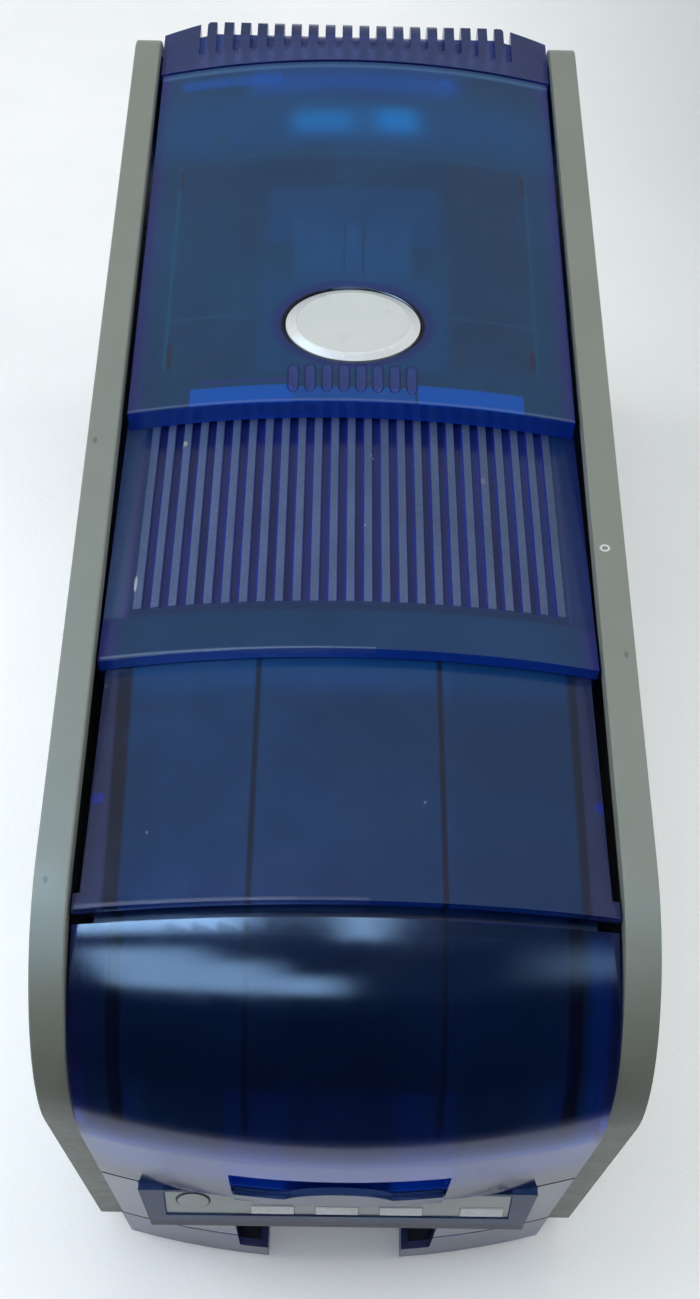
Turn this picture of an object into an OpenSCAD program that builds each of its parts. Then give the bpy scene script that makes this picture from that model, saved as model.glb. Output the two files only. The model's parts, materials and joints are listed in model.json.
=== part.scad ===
// Desktop ID card printer: translucent covers between two side panels.
// Y = 0 is the side panels' front edge, +Y runs to the rear, Z = 0 is the table.
// Every node is then moved so that the whole machine is centred on the origin.

/* [Body] */
// Width over the two side panels
body_w = 175; // [165:1:215]
// Depth of a side panel, front edge to rear edge
panel_len = 416; // [400:1:500]
// Height of the side panels' top edge above the table
panel_top = 218; // [212:1:265]
// Thickness of a side panel
panel_t = 10; // [8:0.5:12]
// Height of the side panels' bottom edge above the table
panel_lift = 14.5; // [10:0.5:20]
// Radius of the side panels' front top corner
panel_front_r = 59.5; // [40:0.5:62]
// Radius of the side panels' rear top corner
panel_rear_r = 12; // [6:0.5:20]
// Radius of the side panels' bottom corners
panel_bottom_r = 6; // [3:0.5:9]
// Thickness of the panel's outer skin behind its rim
panel_skin = 4; // [3:0.5:6]
// Width of the panel's rim
panel_rim = 6; // [4:0.5:8]

/* [Covers] */
// Rise of the covers' crown, edge to middle
crown = 9.3; // [6:0.1:11.5]
// Height of the covers' crest above the side panels' top edge
crest_over = 5.7; // [4:0.1:8]
// Wall thickness of the translucent covers
cover_t = 2.4; // [2:0.1:3]
// Gap between the fixed covers and each side panel
side_gap = 0.9; // [0.6:0.1:1.4]
// Gap between the rear cover and each side panel
rear_side_gap = 1.9; // [1.4:0.1:2.6]
// Depth of the covers' side flanges
flange_h = 8; // [6:0.5:9]
// How far the covers' front edges stand ahead of the side panels
front_proud = 3.5; // [1:0.1:5]
// Radius of the front cover's corner, at its edge
corner_r = 55; // [45:0.5:58]
// Height of the front cover's lower edge
front_cover_z = 107.7; // [104:0.1:112]
// Height of the seam between bezel and base
bezel_z = 40; // [36:0.1:42]
// Width of the seams on the front face
seam_gap = 1.6; // [0.8:0.1:2.2]
// Step from the hopper door's lip down to the front cover
front_step = 2.9; // [2.4:0.1:3.6]
// Front edge of the hopper door
door_y = 45; // [42:0.5:48]
// Front edge of the ribbed bridge
bridge_y = 125; // [120:0.5:130]
// Front edge of the rear cover
rear_cover_y = 220.5; // [216:0.5:226]
// Height of the rear cover's front lip
lip_h = 8.5; // [7:0.1:9]
// Height of the ribbed bridge's front lip
bridge_lip_h = 4.7; // [4:0.1:5.2]
// Gap between the rear cover and the rear vent
rear_seam = 1.2; // [0.8:0.1:2]
// How far the rear vent stands behind the side panels
vent_over = 9; // [6:0.5:12]

/* [Grip ribs] */
// Number of ribs on the bridge
rib_count = 25; // [15:1:27]
// Width of one rib
rib_w = 2.7; // [1.8:0.1:3]
// Depth of the grooves between the ribs
rib_depth = 1.5; // [0.8:0.1:1.8]
// Half width of the ribbed field
rib_field_x = 67.5; // [60:0.5:69]
// Front edge of the ribbed field
rib_field_y = 143; // [140:0.5:148]

/* [Rear vent] */
// Number of fins between the two end blocks
fin_count = 18; // [12:1:20]
// Distance from fin to fin
fin_pitch = 6.75; // [6:0.05:6.8]
// Thickness of one fin
fin_w = 3.9; // [3:0.1:4.4]

/* [Display] */
// Half width of the display frame at its top
frame_x = 64.4; // [62:0.1:66]
// Half width of the display window
window_x = 56.3; // [50:0.1:57]
// Backward tilt of the display, in degrees
display_tilt = 15; // [8:0.5:18]
// Height of the display frame along its face
frame_h = 26; // [24:0.1:28]
// Height of the display window along its face
window_h = 18.5; // [17:0.1:19]
// Diameter of the round user button
user_button_d = 10.8; // [9:0.1:12]
// Travel of the round user button
user_travel = 1; // [0.5:0.1:1.4]

/* [Card path] */
// Height of the card path above the table
path_z = 118; // [116:0.5:120]
// Width of a card
card_w = 54; // [54:0.1:55]
// Length of a card
card_l = 86; // [85.6:0.1:88]
// Clearance beside a card in its guides
card_gap = 0.7; // [0.4:0.1:1]
// Radius of the rubber rollers
roller_r = 9; // [8:0.1:9.5]
// Radius of the roller axles
axle_r = 3; // [2.5:0.1:3.5]
// Running clearance of an axle in its bushes, on the radius
run_gap = 0.05; // [0.03:0.01:0.1]
// Outer radius of the axle bushes
bush_r = 5; // [4.6:0.1:5.6]
// Distance between neighbouring driven rollers
roller_pitch = 78; // [74:0.5:80]
// Radius of the belt pulleys
pulley_r = 10; // [9:0.1:11]
// Thickness of the drive belt
belt_t = 1.6; // [1.2:0.1:2]
// Half width of the output tray
tray_x = 35; // [32:0.5:37]
// Half width of the finger cut in the base
finger_x = 24.6; // [18:0.1:26]
// Depth of the finger cut, from the side panels' front edge
finger_y = 18; // [12:0.5:24]
// Height of the output tray's floor
tray_z = 19.5; // [16:0.5:24]

/* [Latch] */
// Length of the oval button across the machine
latch_w = 46.4; // [40:0.1:50]
// Width of the oval button front to rear
latch_d = 32.6; // [28:0.1:34]
// Distance of the oval button's centre behind the rear cover's front edge
latch_back = 34.7; // [32:0.1:38]
// Travel of the oval button
latch_travel = 2; // [1:0.1:2.2]
// Width of the oval button's sloping rim
latch_rim = 2.6; // [1.5:0.1:3.5]

/* [Rear cover hinge] */
// Distance of the hinge pin in front of the rear cover's rear edge
hinge_back = 18.8; // [17:0.1:22]
// Depth of the hinge pin below the crest
hinge_drop = 14.2; // [13.5:0.1:14.6]
// Radius of the hinge pins
hinge_pin_r = 1.6; // [1.4:0.1:2]

/* [Hidden] */
$fn = 96;
eps = 0.01;
arc_fn = 480;

blue = [0.08, 0.12, 0.42, 0.8];
grey = [0.52, 0.54, 0.48];
dark = [0.12, 0.12, 0.13];
steel = [0.62, 0.63, 0.64];
rubber = [0.1, 0.1, 0.1];
cream = [0.9, 0.88, 0.8];

// Widths
inner_x = body_w / 2 - panel_t;
cover_x = inner_x - side_gap;
rear_cover_x = inner_x - rear_side_gap;
base_x = inner_x - 0.3;
arc_r = (cover_x * cover_x + crown * crown) / (2 * crown);
function drop(x) = arc_r - sqrt(arc_r * arc_r - x * x);

// Heights of the crests of the overlapping covers
crest = panel_top + crest_over;
door_top = crest - 0.2;
front_top = door_top - front_step;
bridge_rear_top = crest - lip_h - 0.4;
bridge_slope = atan((crest - bridge_rear_top) / (rear_cover_y - bridge_y));
door_rear_top = crest - bridge_lip_h - 0.4;
door_slope = atan((door_top - door_rear_top) / (bridge_y - door_y));
crest_y = -front_proud - crown;

// The front corner's axis
corner_y = corner_r - front_proud;
corner_z = front_top - crown - corner_r;
crest_r = corner_r + crown;

// Rear end
comb_z = 150;
port_z = 17;

// Left edge and width of each hole for a connector
inlet_x = -50;
inlet_w = 16;
network_x = -14;
network_w = 12.6;
usb_x = 8;
usb_w = 16.4;
port_h = 14;
network_h = 11.4;
port_fit = 0.2;

rear_cover_end = panel_len - 25.2;
hinge_y = rear_cover_end - hinge_back;
hinge_z = crest - hinge_drop;
swing_gap = 0.4;
swing_r = sqrt(hinge_back * hinge_back + hinge_drop * hinge_drop) + swing_gap;
vent_y = hinge_y + swing_r;
vent_end = panel_len + vent_over;
rear_plate_y = panel_len - 14;
plate_t = 2.5;

// The whole machine's middle, front to rear
display_cos = cos(display_tilt);
display_sin = sin(display_tilt);
display_y = -8.6;
display_z = front_cover_z;
front_end = display_y - frame_h * display_sin;
mid_y = (front_end + vent_end) / 2;

// Base
foot_h = 3;
floor_t = 2.5;
floor_top = foot_h + floor_t;
wall_t = 2.6;
base_top = bezel_z - seam_gap;
base_end = panel_len - 8;

board_z = floor_top + 8;
board_y = rear_plate_y - 134;
board_holes = [board_y + 14, rear_plate_y - 26];
board_hole_x = 48;
board_t = 1.6;
board_w = 108;

// Chassis
chassis_t = 2;
chassis_out = inner_x - 9.5;
chassis_in = chassis_out - chassis_t;
chassis_end = hinge_y + 4.2;
chassis_top = crest - crown - 16.4;
pad_h = 3;

// Screws through the chassis flanges
flange_ys = [60, chassis_end - 40];
flange_x = chassis_in - 8;
flange_w = 14;
flange_t = 2;
screw_core = 1.4;

// Rollers
pick_y = 110;
entry_y = pick_y + roller_pitch;
platen_y = hinge_y - 104;
exit_y = platen_y + 72;
roller_ys = [pick_y, entry_y, platen_y, exit_y];
axle_z = path_z - roller_r;
cleaner_z = path_z + 9.2;
cleaner_axle_r = 2;
sleeve_x = card_w / 2;
pulley_w = 5;
pulley_x = chassis_out + 1.6;
motor_pulley_r = 7;
motor_y = (entry_y + platen_y) / 2;
motor_z = 84;

// Ribbon
spool_z = 147;
takeup_y = platen_y - 44;
supply_y = platen_y + 48;
takeup_r = 11;
supply_r = 16;
core_r = 6;
spool_x = 29;
cart_x = 36;
gear_m = 1;
takeup_teeth = 30;
ribbon_teeth = 12;
ribbon_drop = gear_m * (takeup_teeth + ribbon_teeth) / 2;

// Hopper guide walls
hopper_x = card_w / 2 + card_gap;
hopper_t = 2;
hopper_y0 = door_y + 1;
hopper_y1 = hopper_y0 + card_l + 2 * card_gap;

// Finger grips
grip_count = 8;
grip_pitch = 5.7;
grip_r = 1.9;

// Latch
latch_y = rear_cover_y + latch_back;
latch_gap = 0.5;
well_depth = 9;
well_t = 1.8;
well_chamfer = 1;
head_z = crest - well_depth + latch_travel + 2;
stem_r = 4;
rim_z = crest - 0.9;
lever_y = latch_y + 12;
hook_y = latch_y - 25;
catch_y = hook_y - 1;
lever_z = crest - 20;
lever_pin_r = 1.5;

/* ---- Shared shapes ---- */

module centred() { translate([0, -mid_y, 0]) children(); }

module both() {
  children();
  mirror([1, 0, 0]) children();
}

// Puts a shape drawn in X and Z along Y, from y0 to y1
module along_y(y0, y1) {
  translate([0, y1, 0]) rotate([90, 0, 0]) linear_extrude(y1 - y0) children();
}

// Puts a shape drawn in Y and Z across the machine, from x0 to x1
module along_x(x0, x1) {
  translate([x0, 0, 0]) rotate([90, 0, 90]) linear_extrude(x1 - x0) children();
}

// A round bar across the machine
module bar_x(x0, x1, y, z, r) {
  translate([x0, y, z]) rotate([0, 90, 0]) cylinder(h = x1 - x0, r = r);
}

// The crowned cross-section of a cover, with its side flanges
module crown_strip(top, t, hx, flange = 0) {
  intersection() {
    difference() {
      translate([0, top - arc_r]) circle(r = arc_r, $fn = arc_fn);
      translate([0, top - arc_r]) circle(r = arc_r - t, $fn = arc_fn);
    }
    translate([-hx, top - crown - 3 * t]) square([2 * hx, crown + 4 * t]);
  }
  if (flange > 0) {
    for (side = [-1, 1])
      translate([side > 0 ? hx - t : -hx, top - drop(hx) - flange]) square([t, flange]);
  }
}

// A crowned tile whose crest runs from top0 at y0 to top1 at y1
module tile(y0, y1, top0, top1, t, hx, flange = 0) {
  slope = atan((top1 - top0) / (y1 - y0));
  translate([0, y0, top0]) rotate([slope, 0, 0])
    along_y(0, (y1 - y0) / cos(slope)) crown_strip(0, t, hx, flange);
}

// The plan shape under the bowed front, inset by d
module front_plan(hx, y1, d = 0) {
  intersection() {
    translate([0, crest_y + arc_r]) circle(r = arc_r - d, $fn = arc_fn);
    translate([-hx + d, crest_y - 1]) square([2 * (hx - d), y1 - crest_y + 1 - d]);
  }
}

module rounded_rect(w, h, r) {
  translate([r, 0]) square([w - 2 * r, h]);
  translate([0, r]) square([w, h - 2 * r]);
  for (x = [r, w - r], y = [r, h - r]) translate([x, y]) circle(r = r);
}

// Display frame coordinates: X across, Y up the tilted face, Z out of the face
module on_display() {
  translate([0, display_y, display_z]) rotate([90 - display_tilt, 0, 0]) children();
}

module screw(length, r = 1.4, head = 2.8) {
  cylinder(h = length, r = r);
  translate([0, 0, -1.6]) difference() {
    cylinder(h = 1.6, r = head);
    translate([0, 0, -0.1]) cylinder(h = 1, r = 1.2, $fn = 6);
  }
}

module coil(r, wire, turns, h) {
  steps = 10 * turns;
  sides = 6;
  points = [
    for (i = [0 : steps], k = [0 : sides - 1])
      let (a = 360 * i / 10, b = 360 * k / sides, q = r + wire * cos(b))
        [q * cos(a), q * sin(a), h * i / steps + wire * sin(b)]
  ];
  skin = [
    for (i = [0 : steps - 1], k = [0 : sides - 1])
      let (a = i * sides + k, b = i * sides + (k + 1) % sides)
        each [[a + sides, b, a], [a + sides, b + sides, b]]
  ];
  ends = [
    [for (k = [0 : sides - 1]) k],
    [for (k = [sides - 1 : -1 : 0]) steps * sides + k]
  ];
  polyhedron(points, concat(skin, ends), convexity = 6);
}

module gear(teeth, m, w) {
  pitch = 360 / teeth;
  r_root = m * teeth / 2 - 1.25 * m;
  r_tip = m * teeth / 2 + 0.9 * m;
  linear_extrude(w) polygon([
    for (i = [0 : teeth - 1], s = [[-0.27, r_root], [-0.1, r_tip], [0.1, r_tip], [0.27, r_root]])
      let (a = (i + s[0]) * pitch) [s[1] * cos(a), s[1] * sin(a)]
  ]);
}

/* ---- Casing ---- */

module base() {
  color(blue) centred() difference() {
    union() {
      // floor and walls
      translate([0, 0, foot_h]) linear_extrude(floor_t) front_plan(base_x, base_end);
      translate([0, 0, foot_h]) linear_extrude(base_top - foot_h) difference() {
        front_plan(base_x, base_end);
        front_plan(base_x, base_end, wall_t);
      }
      // walls round the finger cut
      translate([0, 0, foot_h]) linear_extrude(tray_z - foot_h) intersection() {
        front_plan(base_x, base_end);
        translate([-finger_x - wall_t, crest_y])
          square([2 * (finger_x + wall_t), finger_y + wall_t - crest_y]);
      }
      // pads under the chassis flanges
      for (x = [-1, 1], y = flange_ys)
        translate([x * flange_x, y, floor_top - eps]) cylinder(h = pad_h + eps, r = 6);
      // posts under the main board
      for (x = [-board_hole_x, board_hole_x], y = board_holes)
        translate([x, y, floor_top - eps]) cylinder(h = 8 + eps, r = 3.5);
      // seat of the drive motor's foot and of the rear plate
      for (x = [-1, 1]) translate([x * (base_x - wall_t - 6), rear_plate_y - 6, floor_top - eps])
        translate([-4, 0, 0]) cube([8, 5.7, 12]);
    }
    // finger cut, right through the floor
    translate([-finger_x, crest_y - 5, -1]) cube([2 * finger_x, finger_y - crest_y + 5, base_top + 2]);
    // tray mouth
    translate([-tray_x, crest_y - 5, tray_z]) cube([2 * tray_x, 26 - crest_y, base_top]);
    // screw holes in the pads, foot sockets
    for (x = [-1, 1], y = flange_ys)
      translate([x * flange_x, y, foot_h - 1]) cylinder(h = 12, r = screw_core);
    for (x = [-1, 1], y = [foot_front_y, foot_rear_y])
      translate([x * foot_x, y, foot_h - 1]) cylinder(h = 12, r = 3);
    // notches for the rear connectors' wires
    translate([-base_x + 20, base_end - wall_t - 1, port_z - 1])
      cube([2 * base_x - 40, wall_t + 2, base_top]);
  }
}

foot_front_y = 40;
foot_rear_y = panel_len - 60;
foot_x = 48;

module feet() {
  color(rubber) centred() for (x = [-1, 1], y = [foot_front_y, foot_rear_y]) translate([x * foot_x, y, 0]) {
    cylinder(h = foot_h, r = 8);
    cylinder(h = foot_h + floor_t + 0.8, r = 2.95);
  }
}

module panel_outline(d = 0) {
  len = panel_len - 2 * d;
  z0 = panel_lift + d;
  h = panel_top - panel_lift - 2 * d;
  difference() {
    translate([d, z0]) square([len, h]);
    translate([0, panel_top - panel_front_r]) difference() {
      square([panel_front_r, panel_front_r]);
      translate([panel_front_r, 0]) circle(r = panel_front_r - d);
    }
    translate([panel_len - panel_rear_r, panel_top - panel_rear_r]) difference() {
      square([panel_rear_r, panel_rear_r]);
      circle(r = panel_rear_r - d);
    }
    for (front = [true, false]) translate([front ? 0 : panel_len - panel_bottom_r, panel_lift])
      difference() {
        square([panel_bottom_r, panel_bottom_r]);
        translate([front ? panel_bottom_r : 0, panel_bottom_r]) circle(r = max(panel_bottom_r - d, 0.5));
      }
  }
}

// Bosses that screw to the chassis plates, [y, z]
panel_bosses = [[70, 50], [70, 152], [panel_len - 190, 50], [panel_len - 70, 50], [panel_len - 70, 160]];

module side_panel() {
  difference() {
    union() {
      difference() {
        along_x(inner_x, inner_x + panel_t) panel_outline();
        along_x(inner_x - 1, inner_x + panel_t - panel_skin) panel_outline(panel_rim);
      }
      for (p = panel_bosses) bar_x(chassis_out, inner_x + panel_t - panel_skin + eps, p[0], p[1], 4);
    }
    for (p = panel_bosses) bar_x(chassis_out - 1, chassis_out + 10, p[0], p[1], 1.4);
  }
}

module side_panel_right() { color(grey) centred() side_panel(); }
module side_panel_left() { color(grey) centred() mirror([1, 0, 0]) side_panel(); }

slot_x = 33.8;
slot_top = 141;

module front_cover() {
  tuck = 4.5;
  color(blue) centred() difference() {
    union() {
      // vertical face
      translate([0, 0, front_cover_z]) linear_extrude(corner_z - front_cover_z + 2 * eps)
        front_strip(cover_x);
      // rounded corner
      difference() {
        translate([0, corner_y, corner_z]) rotate([0, -90, 180]) rotate_extrude(angle = 90)
          translate([crest_r, 0]) rotate(-90) crown_strip(0, cover_t, cover_x, flange_h);
        translate([-body_w, door_y - 3.5, corner_z]) cube([2 * body_w, 60, 200]);
      }
      // rebate that runs under the hopper door's lip
      along_y(door_y - 7, door_y + tuck) crown_strip(front_top - front_step + 0.4, cover_t, cover_x - 6);
    }
    // card slot, open at the lower edge
    translate([-slot_x, crest_y - 5, front_cover_z - 1]) cube([2 * slot_x, 25, slot_top - front_cover_z + 1]);
  }
}

// Plan section of the front face, with side flanges turned back
module front_strip(hx) {
  intersection() {
    difference() {
      translate([0, crest_y + arc_r]) circle(r = arc_r, $fn = arc_fn);
      translate([0, crest_y + arc_r]) circle(r = arc_r - cover_t, $fn = arc_fn);
    }
    translate([-hx, crest_y - 1]) square([2 * hx, crown + 3 * cover_t]);
  }
  for (side = [-1, 1])
    translate([side > 0 ? hx - cover_t : -hx, crest_y + drop(hx)]) square([cover_t, flange_h]);
}

bezel_top = front_cover_z - seam_gap;
aperture_z = display_z - frame_h * display_cos - 2.6;
mouth_top = aperture_z - 4.5;

module front_bezel() {
  color(blue) centred() difference() {
    union() {
      translate([0, 0, bezel_z]) linear_extrude(bezel_top - bezel_z) front_strip(cover_x);
      // hooks that reach behind the cover above and the base below
      bezel_hook(bezel_top - 3, bezel_top, cover_t - eps);
      bezel_hook(bezel_top - 3, bezel_top + 4, cover_t + 0.5);
      bezel_hook(bezel_z, bezel_z + 3, cover_t - eps);
      bezel_hook(base_top - 3, bezel_z + 3, wall_t + 0.3);
    }
    translate([-frame_x - 0.4, crest_y - 5, aperture_z])
      cube([2 * frame_x + 0.8, 25, bezel_top - aperture_z + 5]);
    translate([-tray_x, crest_y - 5, bezel_z - 5]) cube([2 * tray_x, 25, mouth_top - bezel_z + 5]);
  }
}

// A pair of hooks behind the bowed face, starting at depth d
module bezel_hook(z0, z1, d) {
  translate([0, 0, z0]) linear_extrude(z1 - z0) intersection() {
    difference() {
      translate([0, crest_y + arc_r]) circle(r = arc_r - d, $fn = arc_fn);
      translate([0, crest_y + arc_r]) circle(r = arc_r - wall_t - 2, $fn = arc_fn);
    }
    for (side = [-1, 1]) translate([side > 0 ? frame_x + 2 : -frame_x - 8, crest_y]) square([6, 40]);
  }
}

frame_bottom_x = frame_x - 2.8;
frame_depth = 8;

// Lip under the card slot, with an arch in its middle
lip_z = front_cover_z + 4.3;
lip_rise = 9.9;
arch_x = 17;
arch_r = (arch_x * arch_x + lip_rise * lip_rise) / (2 * lip_rise);

module display_frame() {
  color(blue) centred() difference() {
    union() {
      on_display() translate([0, 0, -frame_depth]) linear_extrude(frame_depth) polygon([
        [-frame_x, -1.2], [frame_x, -1.2],
        [frame_bottom_x, -frame_h], [-frame_bottom_x, -frame_h]
      ]);
      // raised lip under the card slot, bowed like the front face
      intersection() {
        translate([0, 0, front_cover_z - 4]) linear_extrude(30) intersection() {
          difference() {
            translate([0, crest_y + arc_r]) circle(r = arc_r, $fn = arc_fn);
            translate([0, crest_y + arc_r]) circle(r = arc_r - cover_t, $fn = arc_fn);
          }
          translate([-slot_x + 0.4, crest_y - 1]) square([2 * slot_x - 0.8, 12]);
        }
        along_y(crest_y - 1, 0) union() {
          translate([-slot_x, front_cover_z - 4]) square([2 * slot_x, lip_z - front_cover_z + 4]);
          intersection() {
            translate([0, lip_z + lip_rise - arch_r]) circle(r = arch_r);
            translate([-arch_x, front_cover_z]) square([2 * arch_x, 20]);
          }
        }
      }
      // shelf that ties the lip to the frame
      translate([0, 0, front_cover_z - 4]) linear_extrude(2.6) intersection() {
        front_plan(slot_x, -4);
        translate([-slot_x + 0.4, crest_y]) square([2 * slot_x - 0.8, -crest_y - 4.5]);
      }
    }
    on_display() translate([-window_x, -window_h, -2.8]) cube([2 * window_x, window_h - 2.6, 4]);
    on_display() translate([-window_x + 1.5, -window_h + 0.8, -20])
      cube([2 * window_x - 3, window_h - 3.8, 19]);
    on_display() translate([-window_x, -window_h, -frame_depth - 20])
      cube([2 * window_x, window_h - 2.6, 20 + frame_depth - 4.6]);
  }
}

button_x = -47;
button_up = -9;
light_h = 5.4;
light_w = 14;
light_up = -window_h + 1;
lights = [-21.3, -0.3, 20.8, 47.2];
switch_z = -6.3;
button_end = switch_z + user_travel + 0.9;

module display_lens() {
  color([0.75, 0.78, 0.78]) centred() on_display() difference() {
    translate([-window_x + 0.2, -window_h + 0.2, -2.8]) cube([2 * window_x - 0.4, window_h - 3, 2.2]);
    translate([button_x, button_up, -4]) cylinder(h = 6, r = user_button_d / 2 + 0.25);
    for (x = lights) translate([x - light_w / 2 - 0.1, light_up - 0.1, -4])
      cube([light_w + 0.2, light_h + 0.2, 6]);
  }
}

module status_lights() {
  color([0.9, 0.93, 0.92]) centred() on_display() for (x = lights)
    translate([x - light_w / 2, light_up, -5.2]) cube([light_w, light_h, 5]);
}

module user_button() {
  color(grey) centred() on_display() translate([button_x, button_up, button_end]) {
    cylinder(h = -0.2 - button_end, r = user_button_d / 2);
    translate([0, 0, -0.8]) cylinder(h = 1, r = 1.6);
  }
}

module display_module() {
  color([0.1, 0.3, 0.2]) centred() on_display() {
    // board
    translate([-window_x + 1, -window_h + 0.6, -8]) cube([2 * window_x - 2, window_h - 4, 1.6]);
    // switch under the round button
    translate([button_x - 3, button_up - 3, -6.4 - eps]) cube([6, 6, switch_z + 6.4 + eps]);
    // display glass
    translate([-34, light_up + light_h + 0.7, -6.4 - eps])
      cube([78, window_h - light_h - 5.4, 3.3]);
  }
}

module exception_slot() {
  t = 2;
  y1 = 14;
  color(blue) centred() difference() {
    intersection() {
      translate([-slot_x - t, crest_y + 3, front_cover_z + 3]) cube([2 * (slot_x + t), y1 - crest_y - 3,
        slot_top - front_cover_z - 3 + t]);
      translate([0, 0, front_cover_z]) linear_extrude(60) front_plan(cover_x, y1 + 10, cover_t + 0.3);
    }
    translate([-slot_x, crest_y, front_cover_z + 3 + t]) cube([2 * slot_x, y1 - crest_y - t,
      slot_top - front_cover_z - 3 - t]);
    translate([-card_w / 2 - card_gap, 0, path_z - 1.2]) cube([card_w + 2 * card_gap, 40, 3]);
  }
}

rail_top0 = door_top - drop(cover_x) - 7.6;
rail_in = chassis_out;
door_half = cover_x - 2;
door_tail = 7;

// Height of the rails' top at y
function rail_z(y) = rail_top0 - (y - door_y) * tan(bridge_slope);

module hopper_door() {
  y1 = bridge_y + door_tail;
  color(blue) centred() {
    tile(door_y + 2, y1, door_top - 2 * tan(door_slope), door_rear_top - door_tail * tan(door_slope),
      cover_t, door_half);
    // full-width front lip
    tile(door_y, door_y + 5, door_top, door_top - 5 * tan(door_slope), front_step + 0.1, cover_x);
    // skirts that run on the rails
    intersection() {
      for (side = [-1, 1]) translate([side > 0 ? door_half - 2.4 : -door_half, door_y + 4, 0])
        cube([2.4, y1 - door_y - 4, crest]);
      above_rails(0.3);
      tile_mass(door_y, y1 + 1, door_top, door_rear_top - (door_tail + 1) * tan(door_slope), door_half);
    }
  }
}

// Everything more than a gap above the rails
module above_rails(gap) {
  along_x(-body_w, body_w) polygon([
    [door_y, rail_z(door_y) + gap], [panel_len, rail_z(panel_len) + gap], [panel_len, crest], [door_y, crest]
  ]);
}

// The space under a crowned tile
module tile_mass(y0, y1, top0, top1, hx) {
  slope = atan((top1 - top0) / (y1 - y0));
  translate([0, y0, top0]) rotate([slope, 0, 0]) along_y(-20, (y1 - y0) / cos(slope)) intersection() {
    translate([0, -arc_r]) circle(r = arc_r - cover_t / 2, $fn = arc_fn);
    translate([-hx, -60]) square([2 * hx, 61]);
  }
}

rail_y1 = rear_cover_y - 10;

module door_rails() {
  color(dark) centred() both() along_x(rail_in, cover_x - 0.2) polygon([
    [door_y + 3, rail_z(door_y + 3)], [rail_y1, rail_z(rail_y1)],
    [rail_y1, rail_z(rail_y1) - 3], [door_y + 3, rail_z(door_y + 3) - 3]
  ]);
}

module ribbed_bridge() {
  bridge_t = cover_t + 1;
  pitch = 2 * rib_field_x / (rib_count - 0.5);
  groove = pitch - rib_w;
  slant = (rear_cover_y + 4 - bridge_y) / cos(bridge_slope);
  field = (rib_field_y - bridge_y) / cos(bridge_slope);
  flange_l = (rail_y1 - bridge_y) / cos(bridge_slope);
  flange_z = (rail_z(bridge_y) - crest) * cos(bridge_slope) + 0.05;
  color(blue) centred() translate([0, bridge_y, crest]) rotate([-bridge_slope, 0, 0]) {
    along_y(0, field) crown_strip(0, bridge_t, cover_x);
    along_y(field, slant) difference() {
      crown_strip(0, bridge_t, cover_x);
      for (i = [0 : rib_count - 2]) let (x = (i - (rib_count - 2) / 2) * pitch)
        translate([x - groove / 2, -drop(x) - rib_depth]) square([groove, 10]);
    }
    // front lip and the side flanges that stand on the rails
    along_y(0, 3) crown_strip(-1, bridge_lip_h - 1, cover_x);
    both() translate([cover_x - 1.2, 3, flange_z]) cube([1.2, flange_l - 3, -crown - 1.6 - flange_z]);
  }
}

module oval(w, d) {
  scale([w / d, 1]) circle(r = d / 2);
}

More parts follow.
